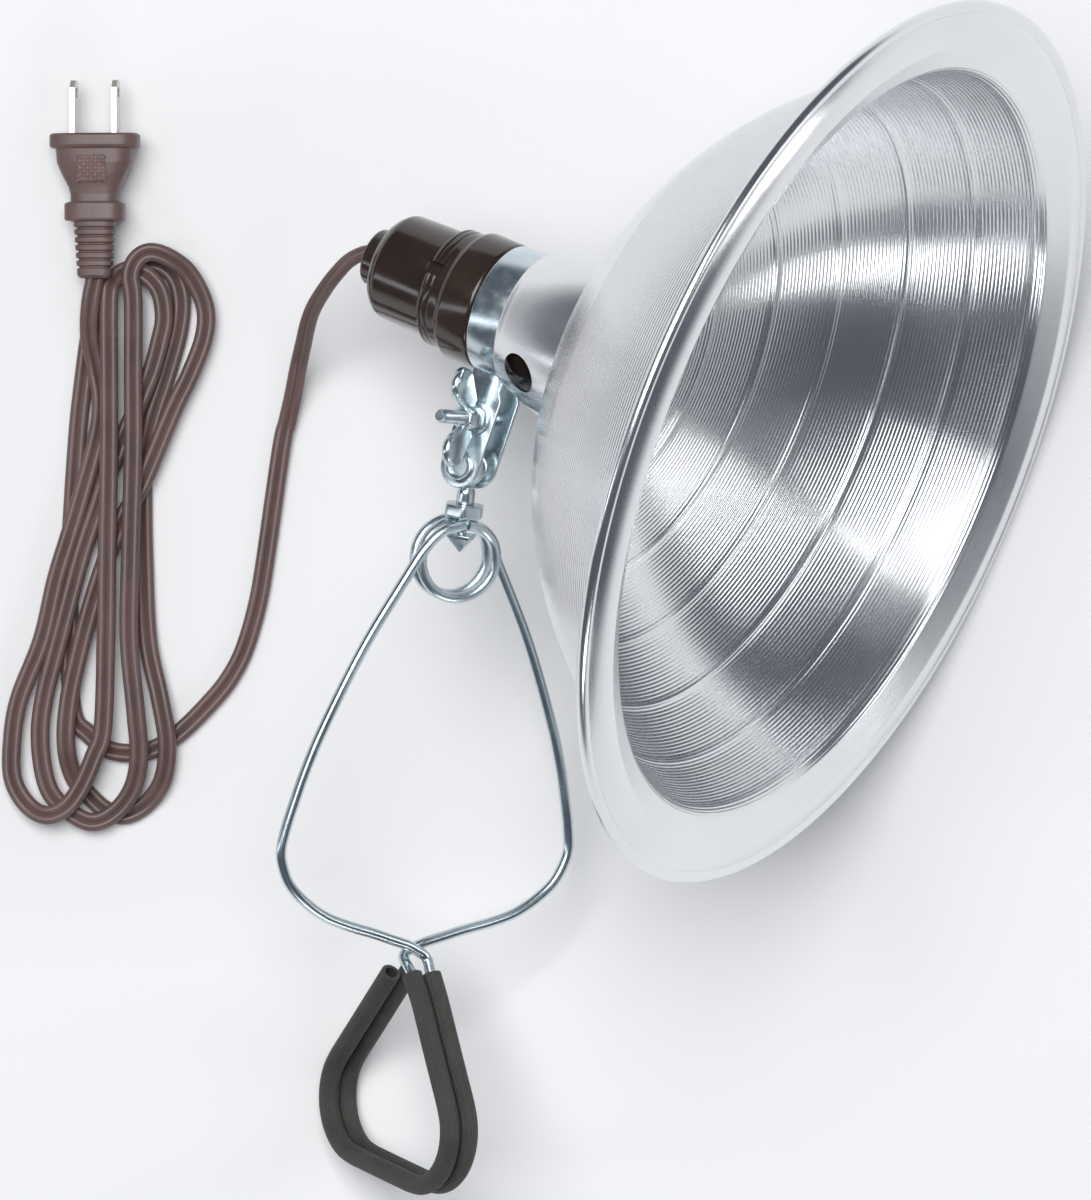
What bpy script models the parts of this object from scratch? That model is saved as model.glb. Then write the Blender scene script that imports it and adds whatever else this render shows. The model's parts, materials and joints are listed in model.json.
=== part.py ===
"""Clamp-on heat lamp fixture, lying on a flat surface as it is laid down after use.

The lamp rests on the rim of its reflector and on one corner of its clamp jaws, and its
cord lies beside it in a long hank with the plug on top. Sizes are in metres and +Z is up.
The head (reflector, socket, band and bolt) is built in a frame of its own: Z runs from the
mouth to the cord end, X points along the band's ears and Y along the bolt. The clamp is
built in a frame at the centre of the swivel ball: Z runs back up the stud, X across the
handles and Y along the axis of the coil.
"""

import math

import bmesh
import bpy
from mathutils import Matrix, Vector

MM = 0.001

# Clearance between pieces that touch
GAP = 0.3 * MM

# How the lamp lies
HEAD_PLACE = (44.86 * MM, 46.11 * MM)
MOUTH_HEADING = math.radians(-23.02)
MOUTH_TILT = math.radians(25.72)
EAR_ROLL = math.radians(10.0)
CLAMP_HEADING = math.radians(-96.4)
CLAMP_SLOPE = math.radians(10.0)
CLAMP_TWIST = math.radians(27.0)
JAW_TWIST = math.radians(8.0)

# Reflector
RIM_RADIUS = 133.5 * MM
RIM_ROLL = 1.7 * MM
BRIM_WIDTH = 20.0 * MM
BRIM_DEPTH = 3.0 * MM
BRIM_CREASE = 1.0 * MM
REFLECTOR_DEPTH = 79.3 * MM
NECK_RADIUS = 28.0 * MM
NECK_LEDGE = 4.2 * MM
NECK_LENGTH = 27.0 * MM
SHEET = 0.9 * MM
VENT_RADIUS = 6.0 * MM
VENT_BACK = 96.0 * MM
VENT_ANGLE = math.radians(57.4)

# Socket
SLEEVE_RADIUS = 16.6 * MM
SLEEVE_WALL = 2.2 * MM
SLEEVE_LENGTH = 33.0 * MM
SKIRT_LEDGE = 2.7 * MM
SKIRT_LENGTH = 11.0 * MM
STEP_INSET = 1.4 * MM
STEP_LENGTH = 7.5 * MM
SHELL_INSET = 1.6 * MM
SHELL_LENGTH = 16.5 * MM
SHOULDER_RADIUS = 12.0 * MM
SHOULDER_LENGTH = 4.5 * MM
BOSS_RADIUS = 8.6 * MM
BOSS_LENGTH = 5.5 * MM
BODY_WALL = 2.6 * MM
SCREW_SHELL_CLEARANCE = 0.5 * MM
SCREW_SHELL_WALL = 0.5 * MM
SCREW_SHELL_LENGTH = 25.0 * MM
THREAD_PITCH = 3.63 * MM
THREAD_DEPTH = 0.5 * MM
DISC_THICKNESS = 3.0 * MM
DISC_INSET = 1.5 * MM
CONTACT_RADIUS = 4.0 * MM
CONTACT_FLANGE_RADIUS = 5.2 * MM
CONTACT_HEIGHT = 2.0 * MM
CONTACT_TRAVEL = 1.5 * MM
TERMINAL_RADIUS = 2.4 * MM
TERMINAL_SHANK_LENGTH = 2.2 * MM
TERMINAL_HEIGHT = 4.2 * MM
TERMINAL_SPREAD = 8.5 * MM
CONDUCTOR_RADIUS = 1.1 * MM
CONDUCTOR_SPREAD = 1.6 * MM
KNOT_RADIUS = 4.6 * MM
KNOT_INSET = 1.5 * MM
CORD_HOLE_MARGIN = 1.1 * MM

# Band, bolt and wing nut
BAND_WIDTH = 10.5 * MM
BAND_SHEET = 1.2 * MM
EAR_WIDTH = 12.4 * MM
BOLT_REACH = 32.0 * MM
BALL_REACH = 47.0 * MM
BOLT_RADIUS = 2.05 * MM
BOLT_PROUD = 28.0 * MM
BOLT_HEAD_RADIUS = 4.0 * MM
BOLT_HEAD_HEIGHT = 2.6 * MM
WASHER_RADIUS = 5.0 * MM
WASHER_THICKNESS = 0.9 * MM
WING_HUB_RADIUS = 4.5 * MM
WING_HUB_HEIGHT = 6.0 * MM
WING_RADIUS = 5.2 * MM
WING_THICKNESS = 3.0 * MM
WING_SPREAD = 9.4 * MM
WING_LIFT = 9.2 * MM
WING_ROOT_LIFT = 2.4 * MM
WING_ROOT_WIDTH = 4.4 * MM
WING_TURN = math.radians(12.0)

# Swivel
BALL_RADIUS = 5.3 * MM
BALL_SEAT_DEPTH = 0.4 * MM
BALL_HOLE_MARGIN = 0.68 * MM
STUD_RADIUS = 2.7 * MM
COLLAR_RADIUS = 6.3 * MM
COLLAR_HEIGHT = 3.8 * MM
COLLAR_DROP = 10.9 * MM
STUD_NECK_RADIUS = 1.4 * MM
TIP_NUT_RADIUS = 4.9 * MM
TIP_NUT_HEIGHT = 5.6 * MM
TIP_NUT_BAND = 0.9 * MM
TIP_NUT_DROP = 1.6 * MM
TIP_NUT_GRIP = 2.5 * MM

# Spring clamp
WIRE_RADIUS = 1.6 * MM
COIL_RADIUS = 11.2 * MM
HANDLE_HALF_WIDTH = 48.0 * MM
HANDLE_LENGTH = 116.4 * MM
JAW_SLEEVE_RADIUS = 3.0 * MM
JAW_LENGTH = 67.5 * MM
JAW_HALF_ANGLE = math.radians(35.9)
JAW_CORNER_RADIUS = 16.7 * MM

# Cord and plug
CORD_RADIUS = 1.9 * MM
HANK_THICKNESS = 10.5 * MM
PLUG_PLACE = (-174.6 * MM, 141.7 * MM, 8.9 * MM)
PLUG_ROLL = math.radians(-8.0)
PLUG_WIDTH = 26.8 * MM
PLUG_DEPTH = 13.2 * MM
PLUG_CORNER_POWER = 3.2
PLUG_FLANGE_LENGTH = 4.2 * MM
PLUG_GRIP_WIDTH = 23.0 * MM
PLUG_GRIP_DEPTH = 11.6 * MM
PLUG_WAIST_WIDTH = 14.4 * MM
PLUG_WAIST_DEPTH = 8.8 * MM
PLUG_TAPER_LENGTH = 16.0 * MM
PLUG_COLLAR_WIDTH = 18.0 * MM
PLUG_COLLAR_DEPTH = 10.0 * MM
PLUG_COLLAR_LENGTH = 5.8 * MM
RELIEF_WIDTH = 12.4 * MM
RELIEF_DEPTH = 7.9 * MM
RELIEF_TIP_WIDTH = 10.2 * MM
RELIEF_TIP_DEPTH = 6.0 * MM
RELIEF_LENGTH = 17.0 * MM
BLADE_SPACING = 12.7 * MM
BLADE_LENGTH = 15.9 * MM
BLADE_WIDTH = 6.35 * MM
BLADE_THICKNESS = 1.5 * MM
BLADE_SEAT = 8.0 * MM
BLADE_HOLE_RADIUS = 1.5 * MM
BLADE_HOLE_INSET = 3.6 * MM
BLADE_TAPER = 2.2 * MM

# Places along the head's axis that follow from the sizes above
NECK_END = REFLECTOR_DEPTH + NECK_LENGTH
NECK_END_RADIUS = SLEEVE_RADIUS + NECK_LEDGE
BAND_START = NECK_END + 0.7 * MM
BAND_MIDDLE = BAND_START + BAND_WIDTH / 2
COLLAR_END = BAND_START + BAND_WIDTH - 0.8 * MM
SKIRT_START = BAND_START + BAND_WIDTH + GAP
SLEEVE_START = SKIRT_START - GAP - SLEEVE_LENGTH
STEP_START = SKIRT_START + SKIRT_LENGTH
SHELL_START = STEP_START + STEP_LENGTH
SHOULDER_START = SHELL_START + SHELL_LENGTH
BOSS_START = SHOULDER_START + SHOULDER_LENGTH
BOSS_END = BOSS_START + BOSS_LENGTH
SKIRT_RADIUS = SLEEVE_RADIUS + SKIRT_LEDGE
STEP_RADIUS = SKIRT_RADIUS - STEP_INSET
SHELL_RADIUS = STEP_RADIUS - SHELL_INSET
SCREW_SHELL_RADIUS = SLEEVE_RADIUS - SLEEVE_WALL - SCREW_SHELL_CLEARANCE
EAR_MIDDLE = BAND_MIDDLE - 0.5 * MM
NECK_COLLAR_RADIUS = SLEEVE_RADIUS + GAP + SHEET
EAR_GAP = 2 * (BALL_RADIUS - BALL_SEAT_DEPTH)
BALL_HOLE_RADIUS = math.sqrt(BALL_RADIUS ** 2 - (EAR_GAP / 2) ** 2) + BALL_HOLE_MARGIN
EAR_FACE = EAR_GAP / 2 + BAND_SHEET

# Places along the clamp's axis, measured down from the ball's centre
COLLAR_END_DROP = COLLAR_DROP + COLLAR_HEIGHT
COIL_DROP = COLLAR_END_DROP + GAP + WIRE_RADIUS + COIL_RADIUS
CROSSING_DROP = COIL_DROP + HANDLE_LENGTH
JAW_APEX_DROP = CROSSING_DROP - 0.5 * MM
FRONT_PASS = STUD_NECK_RADIUS + GAP + WIRE_RADIUS
WIRE_PITCH = 2 * WIRE_RADIUS + GAP
BACK_PASS = -FRONT_PASS - WIRE_PITCH - 0.5 * MM
CROSSING_OFFSET = WIRE_PITCH / 2
JAW_OFFSET = JAW_SLEEVE_RADIUS + GAP / 2

# Points along the lead's route, from near the socket's end to the edge of the hank
LEAD_ROUTE = (
    (-97.4, 100.2, 47.0), (-101.6, 98.1, 42.0), (-105.3, 94.5, 36.0), (-108.7, 89.4, 29.5),
    (-110.7, 84.6, 23.5), (-112.3, 78.6, 16.5), (-114.0, 71.9, 10.0), (-115.7, 63.7, 5.0),
    (-117.5, 56.0, 2.6), (-119.3, 48.2, 2.1), (-124.1, 14.8, 2.1), (-126.5, 1.3, 2.1),
    (-130.1, -11.2, 2.1), (-134.0, -19.3, 2.1), (-139.4, -26.5, 2.1), (-144.4, -32.2, 2.1),
    (-148.4, -35.7, 2.1),
)

# Corners of the hank's outline, from the plug's end and clockwise
HANK_OUTLINE = (
    (-178.0, 98.3), (-168.9, 98.3), (-167.0, 103.7), (-163.1, 108.4), (-151.8, 107.3),
    (-144.9, 101.9), (-140.4, 93.8), (-139.8, 86.4), (-144.9, 67.0), (-154.5, 41.6),
    (-156.5, 2.8), (-153.0, -24.7), (-150.3, -36.0), (-150.6, -42.6), (-153.9, -53.9),
    (-158.9, -61.1), (-165.8, -65.2), (-174.7, -66.4), (-193.6, -63.5), (-198.9, -56.9),
    (-202.2, -46.4), (-202.5, -37.5), (-200.1, -25.6), (-188.8, 10.3), (-180.4, 47.6),
    (-177.3, 77.9),
)


def remove_scene_objects():
    for existing in list(bpy.data.objects):
        bpy.data.objects.remove(existing, do_unlink=True)


def material(name, colour, roughness, metallic):
    """A Principled BSDF finish."""
    made = bpy.data.materials.new(name)
    made.use_nodes = True
    shader = made.node_tree.nodes["Principled BSDF"]
    shader.inputs["Base Color"].default_value = (*colour, 1.0)
    shader.inputs["Roughness"].default_value = roughness
    shader.inputs["Metallic"].default_value = metallic
    return made


def axis_frame(name, place, x_axis, y_axis, z_axis):
    """An empty whose axes are the three given directions."""
    empty = bpy.data.objects.new(name, None)
    bpy.context.collection.objects.link(empty)
    turn = Matrix((x_axis, y_axis, z_axis)).transposed()
    empty.matrix_world = Matrix.Translation(place) @ turn.to_4x4()
    return empty


def finish_mesh(name, shape, parent, finish, smooth=True):
    """Turns a bmesh into a named object under its parent."""
    bmesh.ops.recalc_face_normals(shape, faces=shape.faces)
    mesh = bpy.data.meshes.new(name)
    shape.to_mesh(mesh)
    shape.free()
    made = bpy.data.objects.new(name, mesh)
    bpy.context.collection.objects.link(made)
    made.parent = parent
    if finish:
        mesh.materials.append(finish)
    if smooth:
        mesh.shade_smooth()
        mesh.set_sharp_from_angle(angle=math.radians(35))
    return made


def turned(name, profile, steps, parent, finish, place=None):
    """A profile of (radius, height) turned about the local Z axis.

    A profile that starts and ends on the axis makes a solid piece, and any other one is
    closed into a ring.
    """
    shape = bmesh.new()
    points = [shape.verts.new((radius, 0.0, height)) for radius, height in profile]
    edges = [shape.edges.new(pair) for pair in zip(points, points[1:])]
    on_axis = profile[0][0] == 0.0 and profile[-1][0] == 0.0
    if not on_axis:
        edges.append(shape.edges.new((points[-1], points[0])))
    bmesh.ops.spin(shape, geom=points + edges, cent=(0, 0, 0), axis=(0, 0, 1),
                   angle=2 * math.pi, steps=steps, use_merge=True)
    bmesh.ops.remove_doubles(shape, verts=shape.verts, dist=1e-6)
    if place:
        bmesh.ops.transform(shape, matrix=place, verts=shape.verts)
    return finish_mesh(name, shape, parent, finish)


def extruded(name, outline, height, parent, finish, place=None, smooth=False):
    """A flat outline of (x, y) raised along local Z from zero to a height."""
    shape = bmesh.new()
    face = shape.faces.new([shape.verts.new((x, y, 0.0)) for x, y in outline])
    raised = bmesh.ops.extrude_face_region(shape, geom=[face])
    moved = [item for item in raised["geom"] if isinstance(item, bmesh.types.BMVert)]
    bmesh.ops.translate(shape, verts=moved, vec=(0, 0, height))
    if place:
        bmesh.ops.transform(shape, matrix=place, verts=shape.verts)
    return finish_mesh(name, shape, parent, finish, smooth)


def cylinder(name, radius, start, end, parent, finish, place=None, sides=20):
    """A plain cylinder along local Z."""
    profile = [(0.0, start), (radius, start), (radius, end), (0.0, end)]
    return turned(name, profile, sides, parent, finish, place)


def cutter(made):
    made.hide_render = True
    made.display_type = "WIRE"
    return made


def boolean(target, other, operation):
    """Adds a Boolean modifier with the exact solver."""
    change = target.modifiers.new(operation.title(), "BOOLEAN")
    change.operation = operation
    change.object = other
    return change


def lofted(name, rings, closed, parent, finish):
    """Rings of equally many points bridged in order, and capped or closed into a loop."""
    shape = bmesh.new()
    made = [[shape.verts.new(point) for point in ring] for ring in rings]
    count = len(made[0])
    pairs = list(zip(made, made[1:]))
    if closed:
        pairs.append((made[-1], made[0]))
    for first, second in pairs:
        for i in range(count):
            after = (i + 1) % count
            shape.faces.new((first[i], first[after], second[after], second[i]))
    if not closed:
        shape.faces.new(made[0])
        shape.faces.new(made[-1])
    return finish_mesh(name, shape, parent, finish)


def smooth_route(points, spacing):
    """Points every so often along a Catmull-Rom curve through the given points."""
    nodes = [Vector(point) for point in points]
    nodes = [2 * nodes[0] - nodes[1], *nodes, 2 * nodes[-1] - nodes[-2]]
    route = []
    for before, start, end, after in zip(nodes, nodes[1:], nodes[2:], nodes[3:]):
        steps = max(1, round((end - start).length / spacing))
        for step in range(steps):
            t = step / steps
            route.append(0.5 * (2 * start + (end - before) * t
                                + (2 * before - 5 * start + 4 * end - after) * t ** 2
                                + (3 * start - before - 3 * end + after) * t ** 3))
    route.append(nodes[-2])
    return route


def ring_frames(route, start_normal):
    """A pair of side directions at each point, carried along without twisting."""
    last = len(route) - 1
    side = Vector(start_normal)
    frames = []
    for i in range(last + 1):
        along = (route[min(i + 1, last)] - route[max(i - 1, 0)]).normalized()
        side = (side - along * side.dot(along)).normalized()
        frames.append((side, along.cross(side)))
    return frames


def circle_rings(route, frames, radius, sides):
    rings = []
    for centre, (side, other) in zip(route, frames):
        ring = []
        for k in range(sides):
            angle = 2 * math.pi * k / sides
            ring.append(centre + radius * (math.cos(angle) * side + math.sin(angle) * other))
        rings.append(ring)
    return rings


def rod(name, route, radius, parent, finish, sides=8, start_normal=(0, 1, 0)):
    """A round bar along a route."""
    rings = circle_rings(route, ring_frames(route, start_normal), radius, sides)
    return lofted(name, rings, False, parent, finish)


def tube(name, route, first, outer, inner, parent, finish, sides=10, start_normal=(0, 1, 0)):
    """A round pipe along a route from its given point on, open at both ends."""
    frames = ring_frames(route, start_normal)[first:]
    rings = circle_rings(route[first:], frames, outer, sides)
    rings += reversed(circle_rings(route[first:], frames, inner, sides))
    return lofted(name, rings, True, parent, finish)


def direction(heading, tilt):
    """A unit vector at a heading in the table's plane, raised by a tilt."""
    level = math.cos(tilt)
    return Vector((level * math.cos(heading), level * math.sin(heading), math.sin(tilt)))


def head_frame():
    """The head's frame, at the middle of the rim's plane, with the rim on the table."""
    mouth = direction(MOUTH_HEADING, MOUTH_TILT)
    level_side = direction(MOUTH_HEADING - math.pi / 2, 0.0)
    upper_side = level_side.cross(mouth)
    ear = level_side * math.cos(EAR_ROLL) - upper_side * math.sin(EAR_ROLL)
    bolt = upper_side * math.cos(EAR_ROLL) + level_side * math.sin(EAR_ROLL)
    height = (RIM_RADIUS - RIM_ROLL) * math.cos(MOUTH_TILT) + RIM_ROLL
    height += RIM_ROLL * math.sin(MOUTH_TILT)
    return axis_frame("head", (*HEAD_PLACE, height), ear, bolt, -mouth)


def clamp_frame(head):
    """The clamp's frame, at the centre of the ball between the ears."""
    down = direction(CLAMP_HEADING, -CLAMP_SLOPE)
    level_side = direction(CLAMP_HEADING + math.pi / 2, 0.0)
    upper = down.cross(level_side)
    coil_axis = upper * math.cos(CLAMP_TWIST) + level_side * math.sin(CLAMP_TWIST)
    across = level_side * math.cos(CLAMP_TWIST) - upper * math.sin(CLAMP_TWIST)
    ball = head.matrix_world @ Vector((BALL_REACH, 0.0, EAR_MIDDLE))
    return axis_frame("clamp", ball, across, coil_axis, -down)


def arc(centre, radius, start, end, steps):
    """Points of (across, along) on an arc, both ends included."""
    points = []
    for step in range(steps + 1):
        angle = start + (end - start) * step / steps
        points.append((centre[0] + radius * math.cos(angle), centre[1] + radius * math.sin(angle)))
    return points


def offset_outline(points, distance):
    """The open outline moved sideways, to its left, by a distance."""
    moved = []
    last = len(points) - 1
    for i, point in enumerate(points):
        before = points[max(i - 1, 0)]
        after = points[min(i + 1, last)]
        run = Vector((after[0] - before[0], after[1] - before[1])).normalized()
        moved.append((point[0] - run.y * distance, point[1] + run.x * distance))
    return moved


def bowl_profile():
    """The outer side of the reflector from the brim's root to the neck, as (radius, back)."""
    root_radius = RIM_RADIUS - BRIM_WIDTH
    rise = REFLECTOR_DEPTH - BRIM_DEPTH
    # The bowl is part of a sphere whose centre lies on the axis in front of the mouth
    forward = (root_radius ** 2 - NECK_RADIUS ** 2 - rise ** 2) / (2 * rise)
    sphere = math.hypot(root_radius, forward)
    start = math.atan2(forward, root_radius)
    end = math.atan2(forward + rise, NECK_RADIUS)
    return arc((0.0, BRIM_DEPTH - forward), sphere, start, end, 10)


def reflector_profile():
    """The closed outline of the spun sheet: brim, bowl, neck and the collar under the band."""
    bowl = bowl_profile()
    root_radius, root_back = bowl[0]
    brim = []
    for step in range(4):
        share = step / 4
        radius = RIM_RADIUS - 2 * RIM_ROLL + (root_radius - RIM_RADIUS + 2 * RIM_ROLL) * share
        crease = BRIM_CREASE * (1 - abs(2 * share - 1))
        brim.append((radius, RIM_ROLL + (root_back - RIM_ROLL) * share ** 1.25 - crease))
    neck = []
    for step in range(1, 5):
        share = step / 4
        bulge = 0.8 * MM * math.sin(math.pi * share)
        radius = NECK_RADIUS + (NECK_END_RADIUS - NECK_RADIUS) * share + bulge
        neck.append((radius, REFLECTOR_DEPTH + NECK_LENGTH * share))
    collar = [(NECK_COLLAR_RADIUS, NECK_END + 0.4 * MM), (NECK_COLLAR_RADIUS, COLLAR_END)]
    outside = brim + bowl + neck + collar
    inside = offset_outline(outside, SHEET)
    inside[-2:] = [(NECK_COLLAR_RADIUS - SHEET, NECK_END + 0.4 * MM),
                   (NECK_COLLAR_RADIUS - SHEET, COLLAR_END)]
    inside[-3] = (inside[-3][0], NECK_END - 0.5 * MM)
    roll_centre = (RIM_RADIUS - RIM_ROLL, RIM_ROLL)
    roll = arc(roll_centre, RIM_ROLL, math.radians(-115), math.radians(140), 7)
    return roll + outside[1:] + inside[:0:-1]


def make_reflector(head, finish):
    reflector = turned("reflector", reflector_profile(), 44, head, finish)
    across = Matrix.Translation((0, 0, VENT_BACK)) @ Matrix.Rotation(VENT_ANGLE, 4, "Z")
    across = across @ Matrix.Rotation(math.pi / 2, 4, "Y")
    drill = cylinder("vent_drill", VENT_RADIUS, -NECK_RADIUS - 5 * MM, NECK_RADIUS + 5 * MM,
                     head, None, across, 20)
    boolean(reflector, cutter(drill), "DIFFERENCE")


def make_socket(head, phenolic, brass, nickel, fibre, vinyl):
    """The moulded socket, the metal parts in it, and the cord's end tied inside."""
    bore = SLEEVE_RADIUS - SLEEVE_WALL
    sleeve_end = SKIRT_START - GAP
    turned("socket_sleeve", [
        (bore, SLEEVE_START), (bore, sleeve_end),
        (SLEEVE_RADIUS, sleeve_end), (SLEEVE_RADIUS, SLEEVE_START),
    ], 32, head, phenolic)

    cord_hole = CORD_RADIUS + CORD_HOLE_MARGIN
    cavity = SHELL_RADIUS - BODY_WALL
    cavity_end = SHOULDER_START + 1.0 * MM
    draft = 0.4 * MM
    rounding = 1.2 * MM
    turned("socket_body", [
        (cavity, SKIRT_START), (SKIRT_RADIUS, SKIRT_START), (SKIRT_RADIUS, STEP_START - rounding),
        (SKIRT_RADIUS - draft, STEP_START), (STEP_RADIUS, STEP_START + draft),
        (STEP_RADIUS, SHELL_START - draft), (SHELL_RADIUS, SHELL_START),
        (SHELL_RADIUS - draft, SHOULDER_START),
        (SHELL_RADIUS - draft - rounding, SHOULDER_START + 0.55 * SHOULDER_LENGTH),
        (SHOULDER_RADIUS, BOSS_START), (BOSS_RADIUS, BOSS_START + draft),
        (BOSS_RADIUS, BOSS_END - rounding), (BOSS_RADIUS - rounding, BOSS_END),
        (cord_hole, BOSS_END), (cord_hole, cavity_end + BODY_WALL), (cavity, cavity_end),
    ], 32, head, phenolic)

    disc_start = SKIRT_START - DISC_THICKNESS - DISC_INSET
    shell_end = disc_start - GAP
    shell_start = shell_end - SCREW_SHELL_LENGTH
    outside = []
    waves = int(SCREW_SHELL_LENGTH / THREAD_PITCH)
    for i in range(2 * waves + 1):
        depth = THREAD_DEPTH if i % 2 else 0.0
        outside.append((SCREW_SHELL_RADIUS - depth, shell_end - i * THREAD_PITCH / 2))
    outside.append((SCREW_SHELL_RADIUS, shell_start))
    inside = [(radius - SCREW_SHELL_WALL, back) for radius, back in reversed(outside)]
    turned("screw_shell", outside + inside, 20, head, brass)

    cylinder("insulating_disc", bore - GAP, disc_start, disc_start + DISC_THICKNESS,
             head, fibre, sides=24)
    contact_end = disc_start - GAP - CONTACT_TRAVEL
    turned("centre_contact", [
        (0.0, contact_end), (CONTACT_FLANGE_RADIUS, contact_end),
        (CONTACT_FLANGE_RADIUS, contact_end - 0.25 * CONTACT_HEIGHT),
        (CONTACT_RADIUS, contact_end - 0.3 * CONTACT_HEIGHT),
        (0.7 * CONTACT_RADIUS, contact_end - CONTACT_HEIGHT), (0.0, contact_end - CONTACT_HEIGHT),
    ], 20, head, brass)

    screw_start = disc_start + DISC_THICKNESS + GAP
    head_start = screw_start + TERMINAL_SHANK_LENGTH
    screw_end = screw_start + TERMINAL_HEIGHT
    wire_end = screw_end + GAP
    knot_middle = cavity_end - KNOT_RADIUS - KNOT_INSET
    shank = 0.55 * TERMINAL_RADIUS
    screw = [
        (0.0, screw_start), (shank, screw_start), (shank, head_start), (TERMINAL_RADIUS, head_start),
        (TERMINAL_RADIUS, screw_end - 0.4 * MM), (0.7 * TERMINAL_RADIUS, screw_end), (0.0, screw_end),
    ]
    for name, side, finish in (("live_terminal_screw", 1, brass), ("neutral_terminal_screw", -1, nickel)):
        place = Matrix.Translation((0, side * TERMINAL_SPREAD, 0))
        turned(name, screw, 14, head, finish, place)
    for name, side in (("live_conductor", 1), ("neutral_conductor", -1)):
        start = Vector((0, side * TERMINAL_SPREAD, wire_end + CONDUCTOR_RADIUS * 0.2))
        end = Vector((0, side * CONDUCTOR_SPREAD, knot_middle - KNOT_RADIUS - GAP))
        middle = Vector((side * 2.5 * MM, side * TERMINAL_SPREAD * 0.8, (start.z + end.z) / 2))
        route = smooth_route([start, middle, end], 3 * MM)
        rod(name, route, CONDUCTOR_RADIUS, head, vinyl, 8, (1, 0, 0))
    knot = []
    for step in range(9):
        angle = math.pi * (step / 8 - 0.5)
        knot.append((KNOT_RADIUS * math.cos(angle) if 0 < step < 8 else 0.0,
                     knot_middle + KNOT_RADIUS * math.sin(angle)))
    turned("cord_knot", knot, 16, head, vinyl)
    cylinder("cord_in_boss", CORD_RADIUS, knot_middle + KNOT_RADIUS + GAP, BOSS_END - GAP,
             head, vinyl, sides=12)


def ear_outline():
    """One ear seen along the bolt: a strip from the band to a round end about the ball."""
    half = EAR_WIDTH / 2
    root = SLEEVE_RADIUS + 1.0 * MM
    mouth_side = EAR_MIDDLE - BAND_START
    cord_side = EAR_MIDDLE - BAND_START - BAND_WIDTH
    clear = NECK_END_RADIUS + RIM_ROLL
    end = arc((BALL_REACH, 0.0), half, -math.pi / 2, math.pi / 2, 10)
    return [(clear, mouth_side), (root, mouth_side), (root, cord_side), (clear, cord_side),
            (clear + 2 * MM, -half), *end, (clear + 2 * MM, half)]


def make_band(head, finish):
    """The clamping band round the reflector's collar, with its two ears, as one piece."""
    inner = NECK_COLLAR_RADIUS + GAP
    outer = inner + BAND_SHEET
    opening = math.asin((EAR_GAP / 2) / inner)
    around = arc((0, 0), outer, opening, 2 * math.pi - opening, 40)
    back = arc((0, 0), inner, 2 * math.pi - opening, opening, 40)
    band = extruded("socket_band", around + back, BAND_WIDTH, head, finish,
                    Matrix.Translation((0, 0, BAND_START)), True)
    for name, base in (("front_ear", EAR_GAP / 2), ("back_ear", -EAR_GAP / 2 - BAND_SHEET)):
        place = Matrix.Translation((0, base, EAR_MIDDLE)) @ Matrix.Rotation(-math.pi / 2, 4, "X")
        ear = extruded(name, ear_outline(), BAND_SHEET, head, None, place)
        boolean(band, cutter(ear), "UNION")
    along_bolt = Matrix.Rotation(-math.pi / 2, 4, "X")
    for name, reach, radius in (("bolt_drill", BOLT_REACH, BOLT_RADIUS + GAP),
                                ("seat_drill", BALL_REACH, BALL_HOLE_RADIUS)):
        place = Matrix.Translation((reach, 0, EAR_MIDDLE)) @ along_bolt
        drill = cylinder(name, radius, -EAR_GAP, EAR_GAP, head, None, place, 18)
        boolean(band, cutter(drill), "DIFFERENCE")
    bore = cylinder("band_bore", inner, BAND_START - EAR_WIDTH, BAND_START + BAND_WIDTH + EAR_WIDTH,
                    head, None, None, 48)
    boolean(band, cutter(bore), "DIFFERENCE")


def make_bolt(head, finish):
    place = Matrix.Translation((BOLT_REACH, 0, EAR_MIDDLE)) @ Matrix.Rotation(-math.pi / 2, 4, "X")
    under = -EAR_FACE - GAP
    turned("clamp_bolt", [
        (0.0, under - BOLT_HEAD_HEIGHT), (BOLT_HEAD_RADIUS * 0.75, under - BOLT_HEAD_HEIGHT),
        (BOLT_HEAD_RADIUS, under - BOLT_HEAD_HEIGHT * 0.5), (BOLT_HEAD_RADIUS, under),
        (BOLT_RADIUS, under), (BOLT_RADIUS, BOLT_PROUD - 0.5 * MM),
        (BOLT_RADIUS - 0.5 * MM, BOLT_PROUD), (0.0, BOLT_PROUD),
    ], 16, head, finish, place)
    washer = EAR_FACE + GAP
    hole = BOLT_RADIUS + GAP
    turned("washer", [
        (hole, washer), (WASHER_RADIUS, washer),
        (WASHER_RADIUS, washer + WASHER_THICKNESS), (hole, washer + WASHER_THICKNESS),
    ], 24, head, finish, place)


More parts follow.
